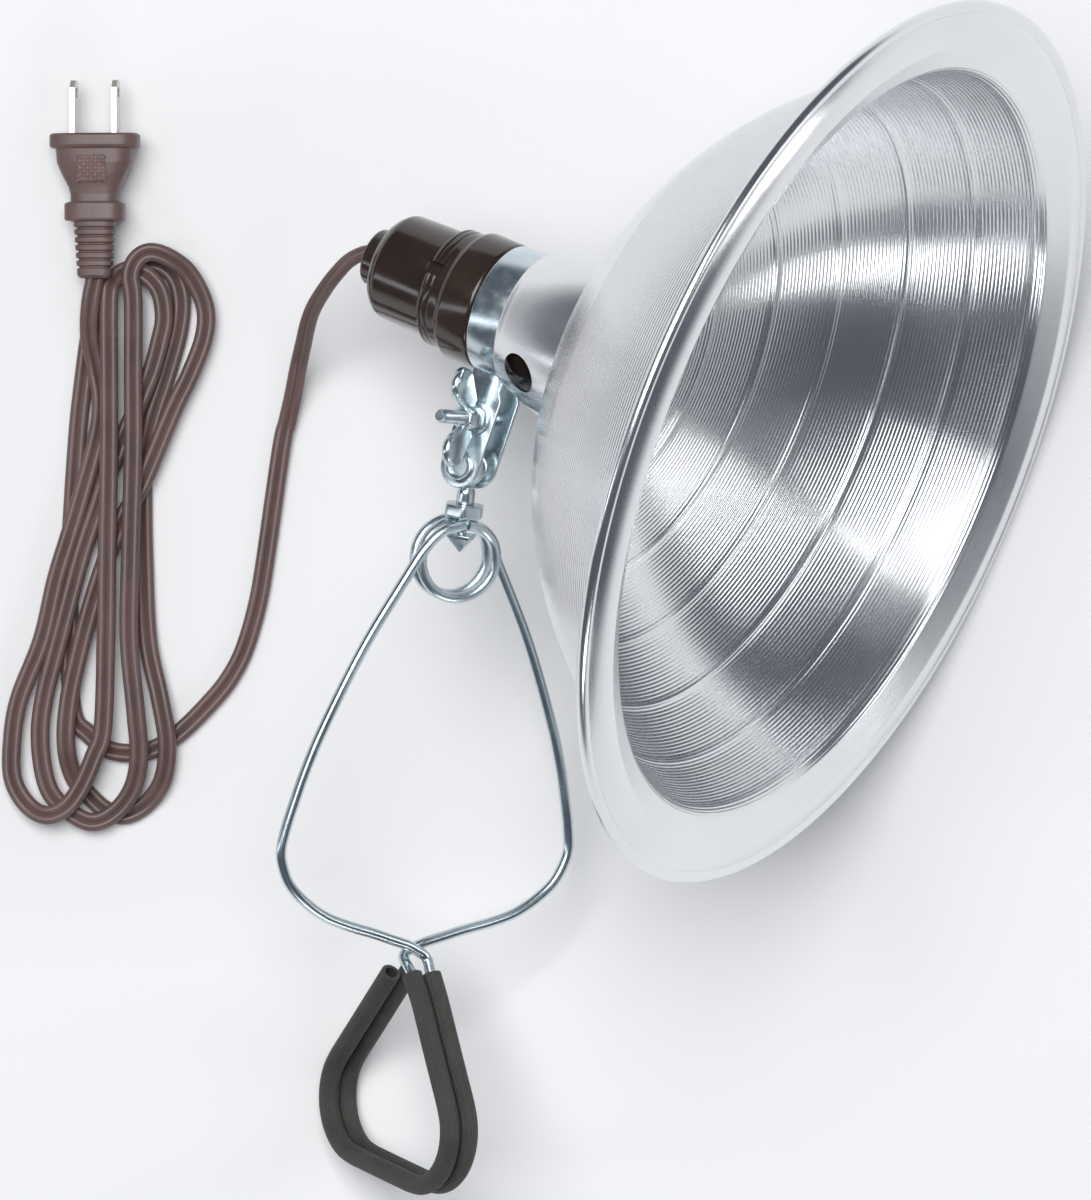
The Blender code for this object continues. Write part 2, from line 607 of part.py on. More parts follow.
def make_wing_nut(head, finish):
    """A six-sided hub with two round wings that flare away from the ear."""
    base = EAR_FACE + 2 * GAP + WASHER_THICKNESS
    spin = Matrix.Rotation(WING_TURN, 4, "Z")
    place = Matrix.Translation((BOLT_REACH, 0, EAR_MIDDLE)) @ Matrix.Rotation(-math.pi / 2, 4, "X")
    place = place @ spin
    nut = cylinder("wing_nut", WING_HUB_RADIUS, base, base + WING_HUB_HEIGHT, head, finish, place, 6)
    for name, side in (("first_wing", 1), ("second_wing", -1)):
        root = (side * (BOLT_RADIUS + 1.2 * MM), base + WING_ROOT_LIFT)
        tip = (side * WING_SPREAD, base + WING_LIFT)
        lean = math.atan2(tip[1] - root[1], tip[0] - root[0])
        outline = arc(tip, WING_RADIUS, lean - 0.62 * math.pi, lean + 0.62 * math.pi, 12)
        foot = WING_ROOT_WIDTH / 2
        outline += [(root[0] - foot * math.sin(lean), root[1] + foot * math.cos(lean)),
                    (root[0] + foot * math.sin(lean), root[1] - foot * math.cos(lean))]
        upright = Matrix.Translation((0, WING_THICKNESS / 2, 0)) @ Matrix.Rotation(math.pi / 2, 4, "X")
        wing = extruded(name, outline, WING_THICKNESS, head, None, place @ upright)
        boolean(nut, cutter(wing), "UNION")
    tap = cylinder("hub_tap", BOLT_RADIUS + GAP, base - 5 * MM, base + 3 * WING_HUB_HEIGHT,
                   head, None, place, 16)
    boolean(nut, cutter(tap), "DIFFERENCE")


def make_swivel(clamp, finish):
    """The ball between the ears, the collared stud below it and its pointed nut."""
    ball = []
    for step in range(11):
        angle = math.pi * (step / 10 - 0.5)
        ball.append((BALL_RADIUS * math.cos(angle) if 0 < step < 10 else 0.0,
                     BALL_RADIUS * math.sin(angle)))
    turned("swivel_ball", ball, 20, clamp, finish)

    nut_top = COIL_DROP - COIL_RADIUS + WIRE_RADIUS + TIP_NUT_DROP
    stud = cylinder("swivel_stud", STUD_RADIUS, -COLLAR_DROP - 1.0 * MM, -BALL_RADIUS - GAP,
                    clamp, finish, None, 16)
    collar = cylinder("stud_collar", COLLAR_RADIUS, -COLLAR_END_DROP, -COLLAR_DROP, clamp, None,
                      None, 6)
    neck = cylinder("stud_neck", STUD_NECK_RADIUS, -nut_top - TIP_NUT_GRIP, -COLLAR_END_DROP + 1.0 * MM,
                    clamp, None, None, 12)
    boolean(stud, cutter(collar), "UNION")
    boolean(stud, cutter(neck), "UNION")

    nut = turned("stud_tip_nut", [
        (0.0, -nut_top - TIP_NUT_HEIGHT), (TIP_NUT_RADIUS, -nut_top - TIP_NUT_BAND),
        (TIP_NUT_RADIUS, -nut_top), (0.0, -nut_top),
    ], 4, clamp, finish)
    tap = cylinder("tip_tap", STUD_NECK_RADIUS + GAP, -nut_top - TIP_NUT_GRIP - GAP, -nut_top + 2 * MM,
                   clamp, None, None, 12)
    boolean(nut, cutter(tap), "DIFFERENCE")


def coil_route():
    """Two turns of the spring, from under the collar in front of the stud to behind it."""
    turns = 2
    steps = 26 * turns
    start_gap = GAP / 2 / COIL_RADIUS
    route = []
    for step in range(steps + 1):
        share = step / steps
        angle = start_gap + share * (2 * math.pi * turns - 2 * start_gap)
        if share < 0.5:
            depth = FRONT_PASS - 2 * FRONT_PASS * share * 2
        else:
            depth = -FRONT_PASS + (BACK_PASS + FRONT_PASS) * (share - 0.5) * 2
        route.append(Vector((COIL_RADIUS * math.sin(angle), depth,
                             -COIL_DROP + COIL_RADIUS * math.cos(angle))))
    return route


def leg_route(side):
    """One leg's wire from the coil's top down its handle and round its jaw.

    side is -1 for the left leg, which passes in front and ends in the right jaw, and +1 for
    the right leg. Returns the whole route and the place in it where the rubber starts.
    """
    top = FRONT_PASS if side < 0 else BACK_PASS
    low = CROSSING_OFFSET if side < 0 else -CROSSING_OFFSET
    start_angle = 3 * GAP / COIL_RADIUS
    wide = HANDLE_HALF_WIDTH
    tall = HANDLE_LENGTH
    coil_top = COIL_DROP - COIL_RADIUS
    # Across as a share of the half width, and down as a share from the coil's centre
    bow = ((0.375, 0.045), (0.615, 0.235), (0.855, 0.483), (0.98, 0.682), (1.0, 0.745),
           (0.915, 0.835), (0.66, 0.915), (0.33, 0.957), (0.08, 0.988))
    outline = [(COIL_RADIUS * math.sin(start_angle), coil_top),
               (0.67 * COIL_RADIUS, coil_top + 0.17 * COIL_RADIUS),
               (1.17 * COIL_RADIUS, coil_top + 0.70 * COIL_RADIUS)]
    outline += [(wide * across, COIL_DROP + tall * down) for across, down in bow]
    points = []
    for across, drop in outline:
        share = (drop - coil_top) / (CROSSING_DROP - coil_top)
        points.append(Vector((side * across, top + (low - top) * share, -drop)))
    handle = smooth_route(points, 7 * MM)
    jaw = jaw_route(-side, low)
    return handle, jaw


def jaw_frame(side):
    """The jaw's in-plane direction across and its plane's offset from the clamp's axis."""
    across = Vector((math.sin(JAW_TWIST), math.cos(JAW_TWIST), 0.0))
    normal = Vector((math.cos(JAW_TWIST), -math.sin(JAW_TWIST), 0.0))
    return across, normal * (side * JAW_OFFSET)


def jaw_route(side, low):
    """The loop of one jaw: a triangle with two round corners, open beside its apex."""
    across, offset = jaw_frame(side)
    base = JAW_LENGTH
    reach = base * math.tan(JAW_HALF_ANGLE)
    corner_angle = math.pi / 2 - JAW_HALF_ANGLE
    centre = (reach - JAW_CORNER_RADIUS / math.tan(corner_angle / 2), base - JAW_CORNER_RADIUS)
    corner = arc(centre, JAW_CORNER_RADIUS, -JAW_HALF_ANGLE, math.pi / 2, 7)
    slant = math.tan(JAW_HALF_ANGLE)
    loop = [(low, 3.2 * MM), (6.2 * MM * slant + low * 0.2, 7.5 * MM)]
    loop += [(drop * slant, drop) for drop in (0.2 * base, 0.4 * base)]
    loop += corner
    loop += [(-x, drop) for x, drop in reversed(corner)]
    loop += [(-drop * slant, drop) for drop in (0.4 * base, 0.14 * base)]
    return [offset + across * x + Vector((0, 0, -JAW_APEX_DROP - drop)) for x, drop in loop]


def make_spring_clamp(clamp, steel, rubber):
    """The coil, the two crossed legs with their jaw loops, and the rubber on the jaws."""
    rod("spring_coil", coil_route(), WIRE_RADIUS, clamp, steel, 8)
    bore = WIRE_RADIUS + GAP
    for side, leg_name, sleeve_name in ((-1, "left_leg", "right_jaw_sleeve"),
                                        (1, "right_leg", "left_jaw_sleeve")):
        handle, jaw = leg_route(side)
        fine_jaw = smooth_route(jaw, 7 * MM)
        bend = smooth_route([handle[-2], handle[-1], jaw[0], jaw[1]], 2.2 * MM)
        inside = [point for point in bend if handle[-1].z > point.z > jaw[0].z]
        wire = handle + inside + fine_jaw
        rod(leg_name, wire[:-1], WIRE_RADIUS, clamp, steel, 8)
        tube(sleeve_name, wire, len(handle) + len(inside) + 1, JAW_SLEEVE_RADIUS, bore,
             clamp, rubber, 10)


def rounded_ring(half_width, half_depth, forward, count=20):
    """A ring between an ellipse and a rectangle, square to local Y."""
    ring = []
    power = 2 / PLUG_CORNER_POWER
    for k in range(count):
        angle = 2 * math.pi * k / count
        x = math.copysign(abs(math.cos(angle)) ** power, math.cos(angle))
        z = math.copysign(abs(math.sin(angle)) ** power, math.sin(angle))
        ring.append(Vector((half_width * x, forward, half_depth * z)))
    return ring


def make_plug(vinyl, nickel):
    """The moulded two-blade plug, which lies with its blades away from the lamp."""
    roll = Matrix.Rotation(PLUG_ROLL, 3, "Y")
    plug = axis_frame("plug", PLUG_PLACE, roll.col[0], roll.col[1], roll.col[2])
    step = 0.4 * MM
    grip_start = PLUG_FLANGE_LENGTH + step
    collar_start = PLUG_FLANGE_LENGTH + PLUG_TAPER_LENGTH
    collar_end = collar_start + PLUG_COLLAR_LENGTH
    relief_end = collar_end + RELIEF_LENGTH
    # Width, depth and distance behind the face
    sections = (
        (PLUG_WIDTH, PLUG_DEPTH, 0.0), (PLUG_WIDTH, PLUG_DEPTH, PLUG_FLANGE_LENGTH),
        (PLUG_GRIP_WIDTH, PLUG_GRIP_DEPTH, grip_start),
        (PLUG_GRIP_WIDTH, PLUG_GRIP_DEPTH, grip_start + 0.25 * PLUG_TAPER_LENGTH),
        (PLUG_WAIST_WIDTH, PLUG_WAIST_DEPTH, collar_start - 0.15 * PLUG_TAPER_LENGTH),
        (PLUG_WAIST_WIDTH, PLUG_WAIST_DEPTH, collar_start),
        (PLUG_COLLAR_WIDTH, PLUG_COLLAR_DEPTH, collar_start + step),
        (PLUG_COLLAR_WIDTH, PLUG_COLLAR_DEPTH, collar_end), (RELIEF_WIDTH, RELIEF_DEPTH, collar_end + step),
        (RELIEF_TIP_WIDTH, RELIEF_TIP_DEPTH, relief_end),
    )
    rings = [rounded_ring(wide / 2, thick / 2, -back) for wide, thick, back in sections]
    body = lofted("plug_body", rings, False, plug, vinyl)
    for name, side in (("left", -1), ("right", 1)):
        x = side * BLADE_SPACING / 2
        seat = box("seat_" + name, (x, -BLADE_SEAT / 2 + 1 * MM, 0),
                   (BLADE_THICKNESS + 2 * GAP, BLADE_SEAT + 2 * MM, BLADE_WIDTH + 2 * GAP),
                   plug, None)
        boolean(body, cutter(seat), "DIFFERENCE")
        make_blade("plug_blade_" + name, x, plug, nickel)


def box(name, centre, size, parent, finish):
    shape = bmesh.new()
    place = Matrix.Translation(centre) @ Matrix.Diagonal((*size, 1.0))
    bmesh.ops.create_cube(shape, size=1.0, matrix=place)
    return finish_mesh(name, shape, parent, finish, False)


def make_blade(name, x, plug, finish):
    """A flat blade with a tapered tip and a hole, standing out of the plug's face."""
    half = BLADE_WIDTH / 2
    root = GAP - BLADE_SEAT
    tip = BLADE_LENGTH
    outline = [(root, -half), (tip - BLADE_TAPER, -half), (tip, -0.45 * half), (tip, 0.45 * half),
               (tip - BLADE_TAPER, half), (root, half)]
    # The outline's (along, height) plane is turned to stand upright at x
    upright = Matrix(((0, 0, 1, x - BLADE_THICKNESS / 2), (1, 0, 0, 0), (0, 1, 0, 0), (0, 0, 0, 1)))
    blade = extruded(name, outline, BLADE_THICKNESS, plug, finish, upright)
    place = Matrix.Translation((x, tip - BLADE_HOLE_INSET, 0)) @ Matrix.Rotation(math.pi / 2, 4, "Y")
    drill = cylinder(name + "_drill", BLADE_HOLE_RADIUS, -2 * MM, 2 * MM, plug, None, place, 14)
    boolean(blade, cutter(drill), "DIFFERENCE")


def make_cord(head, vinyl):
    """The lead from the socket's boss to the table, and the solid of the folded hank."""
    exit_point = head.matrix_world @ Vector((0.0, 0.0, BOSS_END))
    backwards = head.matrix_world.to_3x3() @ Vector((0.0, 0.0, 1.0))
    start = exit_point + backwards * GAP
    points = [start, start + backwards * 4 * MM]
    points += [Vector((x * MM, y * MM, z * MM)) for x, y, z in LEAD_ROUTE]
    curve = bpy.data.curves.new("cord_lead", "CURVE")
    curve.dimensions = "3D"
    curve.bevel_depth = CORD_RADIUS
    curve.bevel_resolution = 2
    curve.use_fill_caps = True
    curve.resolution_u = 1
    curve.render_resolution_u = 0
    route = smooth_route(points, 6 * MM)
    spline = curve.splines.new("POLY")
    spline.points.add(len(route) - 1)
    for knot, point in zip(spline.points, route):
        knot.co = (*point, 1.0)
    curve.materials.append(vinyl)
    lead = bpy.data.objects.new("cord_lead", curve)
    bpy.context.collection.objects.link(lead)

    outline = [(x * MM, y * MM) for x, y in reversed(HANK_OUTLINE)]
    extruded("cord_hank", outline, HANK_THICKNESS, None, vinyl,
             Matrix.Translation((0, 0, 0.1 * MM)))


def main():
    remove_scene_objects()
    aluminium = material("spun aluminium", (0.80, 0.81, 0.83), 0.25, 1.0)
    phenolic = material("brown phenolic", (0.020, 0.012, 0.010), 0.22, 0.0)
    zinc = material("zinc-plated steel", (0.60, 0.67, 0.71), 0.28, 1.0)
    brass = material("brass", (0.75, 0.55, 0.25), 0.30, 1.0)
    nickel = material("nickel-plated brass", (0.68, 0.65, 0.60), 0.30, 1.0)
    fibre = material("vulcanised fibre", (0.22, 0.08, 0.05), 0.60, 0.0)
    rubber = material("black rubber", (0.035, 0.037, 0.033), 0.70, 0.0)
    vinyl = material("brown vinyl", (0.075, 0.045, 0.040), 0.45, 0.0)

    head = head_frame()
    bpy.context.view_layer.update()
    clamp = clamp_frame(head)
    make_reflector(head, aluminium)
    make_socket(head, phenolic, brass, nickel, fibre, vinyl)
    make_band(head, zinc)
    make_bolt(head, zinc)
    make_wing_nut(head, zinc)
    make_swivel(clamp, zinc)
    make_spring_clamp(clamp, zinc, rubber)
    make_plug(vinyl, nickel)
    make_cord(head, vinyl)


main()
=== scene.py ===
"""Clamp-on heat lamp: the fine surfaces, finishes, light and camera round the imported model.

Every piece is worked out in the lamp's own frame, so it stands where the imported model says.
The head's pieces are drawn about the socket's axis and the clamp's about the swivel ball, and
both frames are read from the joints. Sizes are in metres and +Z is up.
"""

import json
import math

import bpy
import numpy as np
from bpy.props import FloatProperty, FloatVectorProperty, PointerProperty
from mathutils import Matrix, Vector


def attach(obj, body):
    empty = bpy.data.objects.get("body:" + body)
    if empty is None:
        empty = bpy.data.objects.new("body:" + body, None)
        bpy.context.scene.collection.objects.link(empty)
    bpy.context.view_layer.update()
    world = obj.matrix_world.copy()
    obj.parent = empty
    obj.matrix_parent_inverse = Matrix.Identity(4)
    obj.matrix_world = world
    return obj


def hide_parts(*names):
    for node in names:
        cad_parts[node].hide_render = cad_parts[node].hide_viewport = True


bl_info = {
    "name": "Clamp Heat Lamp",
    "version": (1, 0, 0),
    "blender": (4, 5, 0),
    "location": "View3D > Sidebar > Heat Lamp",
    "description": "Builds the visible pieces of a clamp-on heat lamp",
    "category": "Add Mesh",
}

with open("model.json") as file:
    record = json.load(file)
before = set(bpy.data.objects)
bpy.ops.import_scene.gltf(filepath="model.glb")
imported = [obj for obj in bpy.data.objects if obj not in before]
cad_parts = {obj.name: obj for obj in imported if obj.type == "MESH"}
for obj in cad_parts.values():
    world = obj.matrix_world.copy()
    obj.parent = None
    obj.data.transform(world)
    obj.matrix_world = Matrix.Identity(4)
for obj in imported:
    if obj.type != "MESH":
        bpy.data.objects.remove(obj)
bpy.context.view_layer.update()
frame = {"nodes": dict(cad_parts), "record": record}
JOINTS = {joint["name"]: joint for joint in frame["record"]["behaviour"]["joints"]}

MM = 0.001
TAU = 2 * math.pi
GAP = 0.3 * MM
SHARP_ANGLE = math.radians(38)

# Places along the head's axis, measured back from the mouth's rim
REFLECTOR_DEPTH = 79.3 * MM
NECK_LENGTH = 27.0 * MM
NECK_END = REFLECTOR_DEPTH + NECK_LENGTH
BAND_START = NECK_END + 0.7 * MM
EAR_MIDDLE = BAND_START + 4.75 * MM
BAND_WIDTH = 10.5 * MM
BAND_END = BAND_START + BAND_WIDTH
SKIRT_START = BAND_END + GAP

# Fixed sizes that are not among the settings
BALL_REACH = 47.0 * MM
BOLT_REACH = 32.0 * MM
REFLECTOR_SHEET = 0.9 * MM
SLEEVE_RADIUS = 16.6 * MM
SLEEVE_LENGTH = 33.0 * MM
SLEEVE_WALL = 2.2 * MM
SCREW_SHEET = 0.4 * MM
WASHER_THICKNESS = 0.9 * MM
STUD_NECK_RADIUS = 1.4 * MM
BLADE_SPREAD = 6.35 * MM
AXIS_HOLE = 0.02 * MM

# The lead from the socket down to the table, in world millimetres
LEAD_ROUTE = (
    (-97.8, 102.5, 46), (-101.9, 98.6, 41.7), (-105.3, 94.5, 36), (-108.7, 89.4, 29.5),
    (-110.7, 84.6, 23.5), (-112.3, 78.6, 16.5), (-114.0, 71.9, 10), (-115.7, 63.7, 5),
    (-117.5, 56.0, 2.6), (-119.3, 48.2, 2.1), (-124.1, 14.8, 2), (-126.5, 1.3, 1.8),
    (-130.1, -11.2, 1.65), (-134.0, -19.3, 1.65), (-139.4, -26.5, 1.65),
)

# The folded hank, turn by turn, ending in the plug
HANK_ROUTE = (
    (-149.9, -37.0, 1.65), (-159.1, -42.3, 1.65), (-169.9, -42.3, 1.65),
    (-177.1, -37.0, 1.65), (-181.6, -30.7, 1.65), (-182.5, -9.2, 1.65), (-182.5, 14.7, 1.65),
    (-180.4, 49.4, 1.65), (-178.6, 67.0, 1.65), (-176.2, 83.8, 1.65),
    (-172.9, 93.0, 1.65), (-167.5, 99.9, 1.65), (-158.7, 103.6, 1.65), (-152.3, 100.8, 1.65),
    (-149.3, 93.6, 1.65), (-149.9, 83.5, 1.65), (-153.5, 70.0, 1.65), (-157.9, 56.3, 1.65),
    (-160.0, 44.6, 1.65), (-160.6, 32.7, 1.65), (-160.3, 14.7, 1.65), (-159.1, -9.2, 2.6),
    (-155.4, -26.8, 4.62), (-153.3, -39.9, 4.62), (-154.6, -50.7, 3.45), (-159.4, -57.9, 1.65),
    (-166.0, -61.5, 1.65), (-171.7, -60.0, 1.65), (-177.1, -55.2, 1.65), (-181.5, -49.5, 2.6),
    (-183.5, -39.9, 4.62), (-182.6, -26.8, 4.62), (-178.7, -9.2, 4.62), (-174.5, 5.8, 4.62),
    (-170.4, 17.7, 4.62), (-165.9, 28.2, 4.62), (-160.5, 38.0, 4.62),
    (-151.8, 58.9, 4.62), (-146.5, 70.0, 4.62), (-142.3, 81.3, 4.62), (-142.0, 90.5, 4.62),
    (-146.4, 99.8, 5.57), (-151.9, 104.5, 7.1), (-157.8, 106.5, 7.59), (-162.0, 104.6, 7.59),
    (-164.1, 99.6, 7.59), (-163.3, 92.2, 7.59), (-163.3, 69.9, 7.59), (-163.3, 47.5, 7.59),
    (-164.2, 14.7, 7.59), (-164.5, -9.1, 7.59), (-162.5, -30.9, 7.59),
    (-161.6, -44.1, 6.74), (-163.8, -53.9, 5.25), (-169.2, -60.8, 4.62), (-176.0, -63.5, 4.62),
    (-183.5, -59.6, 4.62), (-188.9, -53.0, 4.62), (-191.2, -39.9, 4.62), (-190.1, -26.8, 4.62),
    (-185.6, -9.2, 4.62), (-179.3, 14.7, 4.62), (-174.8, 28.5, 4.62), (-170.4, 41.6, 4.62),
    (-165.9, 52.3, 4.62), (-161.4, 62.5, 4.62), (-157.8, 71.4, 4.62), (-155.4, 80.4, 4.62),
    (-154.2, 87.0, 4.62), (-155.4, 94.7, 4.62), (-159.4, 99.6, 4.6), (-164.8, 101.3, 4.75),
    (-169.1, 98.2, 6.2), (-170.5, 92.2, 7.59), (-170.5, 69.9, 7.59), (-170.5, 47.5, 7.59),
    (-171.1, 14.7, 7.59), (-171.4, -9.1, 7.59), (-172.3, -35.4, 7.59),
    (-175.0, -44.0, 7.59), (-178.9, -53.0, 7.59), (-183.3, -59.0, 7.59), (-189.2, -61.4, 7.06),
    (-195.0, -58.3, 5.25), (-199.3, -50.7, 4.62), (-199.6, -39.9, 4.62), (-197.5, -26.8, 4.62),
    (-190.7, -9.2, 4.62), (-186.5, 8.8, 4.62), (-182.9, 20.7, 4.62), (-179.3, 32.6, 4.62),
    (-174.2, 51.4, 4.62), (-173.0, 62.5, 4.94), (-174.6, 72.3, 4.9), (-176.4, 81.5, 6.3),
    (-176.1, 90.4, 8.2), (-174.6, 98.7, 8.9),
)


# Frames

def unit(vector):
    return np.asarray(vector, float) / np.linalg.norm(vector)


def head_axes():
    """Origin at the rim's middle, X along the ears, Y along the bolt and Z backwards."""
    back = unit(JOINTS["contact_press"]["axis"])
    bolt = unit(JOINTS["ball_swing"]["axis"])
    ear = np.cross(bolt, back)
    ball = np.array(JOINTS["ball_swing"]["pos_m"])
    return ball - ear * BALL_REACH - back * EAR_MIDDLE, np.array((ear, bolt, back))


def clamp_axes():
    """Origin at the ball, X across the handles, Y along the coil and Z up the stud."""
    up = -unit(JOINTS["clamp_turn"]["axis"])
    coil = unit(JOINTS["left_squeeze"]["axis"])
    return np.array(JOINTS["clamp_turn"]["pos_m"]), np.array((np.cross(up, coil), coil, up))


HEAD = head_axes()
CLAMP = clamp_axes()


def placed(points, axes):
    """Points given in a frame, as world points: the origin plus each coordinate times its axis."""
    origin, directions = axes
    return origin + np.asarray(points, float) @ directions


def shifted(axes, offset, directions=None):
    """A frame moved by an offset in itself, and turned to new directions given in itself."""
    turned_to = axes[1] if directions is None else np.asarray(directions, float) @ axes[1]
    return placed(offset, axes), turned_to


def turned_about_z(angle):
    cosine, sine = math.cos(angle), math.sin(angle)
    return np.array(((cosine, sine, 0.0), (-sine, cosine, 0.0), (0.0, 0.0, 1.0)))


ALONG_BOLT = np.array(((1.0, 0.0, 0.0), (0.0, 0.0, -1.0), (0.0, 1.0, 0.0)))


# Shapes

def add_object(name, data):
    made = bpy.data.objects.new(name, data)
    bpy.context.scene.collection.objects.link(made)
    return made


def round_about(radius, angle, height):
    """Points (r cos a, r sin a, h), with the three broadcast together."""
    parts = np.broadcast_arrays(radius * np.cos(angle), radius * np.sin(angle), height)
    return np.stack(parts, -1)


def rectangle(left, right, low, high):
    return (left, low), (right, low), (right, high), (left, high)


def skin(rings, closed=False, flat_ends=False):
    """A surface over rings of equally many points: (points, faces, uv per corner).

    The point at row i and column j is rings[i, j]. Columns always join up. Rows join up if
    closed, and otherwise each end is filled by a fan about its middle or by one flat face. U
    goes once round the ring and V is the way along in metres.
    """
    rings = np.asarray(rings, float)
    rows, columns, _ = rings.shape
    last = rows if closed else rows - 1
    i, j = np.meshgrid(np.arange(last), np.arange(columns), indexing="ij")
    below = (i + 1) % rows
    beside = (j + 1) % columns
    quads = np.stack((i * columns + j, i * columns + beside,
                      below * columns + beside, below * columns + j), -1).reshape(-1, 4)
    steps = np.linalg.norm(np.diff(rings, axis=0, append=rings[:1]), axis=2).max(axis=1)
    travel = np.concatenate(((0.0,), np.cumsum(steps)))
    u0, u1 = j / columns, (j + 1) / columns
    v0, v1 = travel[i], travel[i + 1]
    uv = np.stack((np.stack((u0, v0), -1), np.stack((u1, v0), -1),
                   np.stack((u1, v1), -1), np.stack((u0, v1), -1)), 2).reshape(-1, 2)
    points = rings.reshape(-1, 3)
    faces = quads.tolist()
    if not closed:
        around = np.arange(columns)
        ends = ((around[::-1], 0, travel[0]), (around + (rows - 1) * columns, rows - 1, travel[last]))
        for ring, row, way in ends:
            if flat_ends:
                faces.append(ring.tolist())
                uv = np.vstack((uv, np.stack((ring % columns / columns,
                                              np.full(columns, way)), -1)))
            else:
                centre = len(points)
                points = np.vstack((points, rings[row].mean(axis=0)))
                fan = np.stack((ring, np.roll(ring, -1), np.full(columns, centre)), -1)
                faces += fan.tolist()
                across = ring % columns / columns
                corner = np.stack((across, np.full(columns, way)), -1)
                uv = np.vstack((uv, np.repeat(corner, 3, axis=0)))
    return points, faces, uv


def slab(sheets, count):
    """A closed block between two square grids of count by count points, one above the other."""
    i, j = np.meshgrid(np.arange(count - 1), np.arange(count - 1), indexing="ij")
    corner = (i * count + j).reshape(-1, 1)
    under = corner + np.array((0, 1, count + 1, count))
    top = under[:, ::-1] + count * count
    edge = np.arange(count - 1)
    last = count * count - 1
    rim = np.concatenate((edge, edge * count + count - 1, last - edge, (last - count + 1) - edge * count))
    after = np.roll(rim, -1)
    walls = np.stack((rim, rim + count * count, after + count * count, after), -1)
    faces = np.concatenate((under, top, walls))
    points = sheets.reshape(-1, 3)
    uv = np.stack((faces % count, faces // count % count), -1).reshape(-1, 2) / count
    return points, faces.tolist(), uv


def outward(surface):
    """The surface with its faces turned round if its signed volume is below zero."""
    points, faces, uv = surface
    sides = np.array([len(face) for face in faces])
    starts = np.concatenate(((0,), np.cumsum(sides)))[:-1]
    corners = np.concatenate([np.asarray(face) for face in faces])
    after = np.arange(len(corners)) + 1
    after[starts + sides - 1] = starts
    first = np.repeat(corners[starts], sides)
    middle = points.mean(axis=0)
    volume = np.einsum("ij,ij->i", points[first] - middle,
                       np.cross(points[corners] - middle, points[corners[after]] - middle)).sum()
    if volume >= 0:
        return surface
    order = np.concatenate([np.arange(start, start + side)[::-1] for start, side in zip(starts, sides)])
    return points, [face[::-1] for face in faces], uv[order]


def piece(name, surfaces, finish_name, body, stands_for=()):
    """One object from one or more closed surfaces, riding on a body."""
    points, faces, uvs, offset = [], [], [], 0
    for surface in surfaces:
        some_points, some_faces, some_uv = outward(surface)
        points.append(some_points)
        faces += [[index + offset for index in face] for face in some_faces]
        uvs.append(some_uv)
        offset += len(some_points)
    mesh = bpy.data.meshes.new(name)
    mesh.from_pydata(np.vstack(points), [], faces)
    mesh.uv_layers.new(name="UVMap").uv.foreach_set("vector", np.vstack(uvs).ravel())
    mesh.materials.append(made_finish(finish_name))
    mesh.shade_smooth()
    mesh.set_sharp_from_angle(angle=SHARP_ANGLE)
    made = add_object(name, mesh)
    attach(made, body)
    if stands_for:
        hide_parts(*stands_for)
    return made


def carve(made, surfaces):
    """Cuts closed surfaces out of a piece for good."""
    holes = []
    for surface in surfaces:
        points, faces, _ = outward(surface)
        mesh = bpy.data.meshes.new("hole")
        mesh.from_pydata(points, [], faces)
        hole = add_object("hole", mesh)
        change = made.modifiers.new("hole", "BOOLEAN")
        change.operation = "DIFFERENCE"
        change.object = hole
        holes.append(hole)
    graph = bpy.context.evaluated_depsgraph_get()
    cut = bpy.data.meshes.new_from_object(made.evaluated_get(graph))
    made.modifiers.clear()
    old = made.data
    made.data = cut
    bpy.data.meshes.remove(old)
    made.data.set_sharp_from_angle(angle=SHARP_ANGLE)
    for hole in holes:
        bpy.data.objects.remove(hole)


def arc(centre, radius, start, end, steps):
    """Points at equal angles on a circle's arc, both ends included."""
    angle = np.linspace(start, end, steps + 1)
    return np.stack((centre[0] + radius * np.cos(angle), centre[1] + radius * np.sin(angle)), -1)


def rounded(profile, radius, closed=False, steps=4):
    """A polyline with each corner P rounded by the curve (1-t)^2 A + 2t(1-t) P + t^2 B.

    A and B lie on the two sides at the radius from P, or at half the side if that is less.
    """
    profile = np.asarray(profile, float)
    before = np.roll(profile, 1, axis=0)
    after = np.roll(profile, -1, axis=0)
    if not closed:
        corners, before, after = profile[1:-1], before[1:-1], after[1:-1]
    else:
        corners = profile
    back, ahead = before - corners, after - corners
    back_length = np.linalg.norm(back, axis=1, keepdims=True)
    ahead_length = np.linalg.norm(ahead, axis=1, keepdims=True)
    start = corners + back / back_length * np.minimum(radius, 0.48 * back_length)
    end = corners + ahead / ahead_length * np.minimum(radius, 0.48 * ahead_length)
    t = np.linspace(0, 1, steps + 1)[None, :, None]
    curve = (1 - t) ** 2 * start[:, None] + 2 * t * (1 - t) * corners[:, None] + t ** 2 * end[:, None]
    curve = curve.reshape(-1, 2)
    return curve if closed else np.vstack((profile[:1], curve, profile[-1:]))


def turned(profile, around, axes, closed=False, shape=None):
    """A profile of (radius, height) turned about Z: (r f cos a, r f sin a, h).

    shape gives f at each angle, which is 1 for a round piece. An open profile that starts and
    ends beside the axis is filled there.
    """
    angle = np.arange(around) / around * TAU
    factor = np.ones(around) if shape is None else shape(angle)
    profile = np.asarray(profile, float)
    return skin(placed(round_about(profile[:, :1] * factor, angle, profile[:, 1:]), axes), closed)


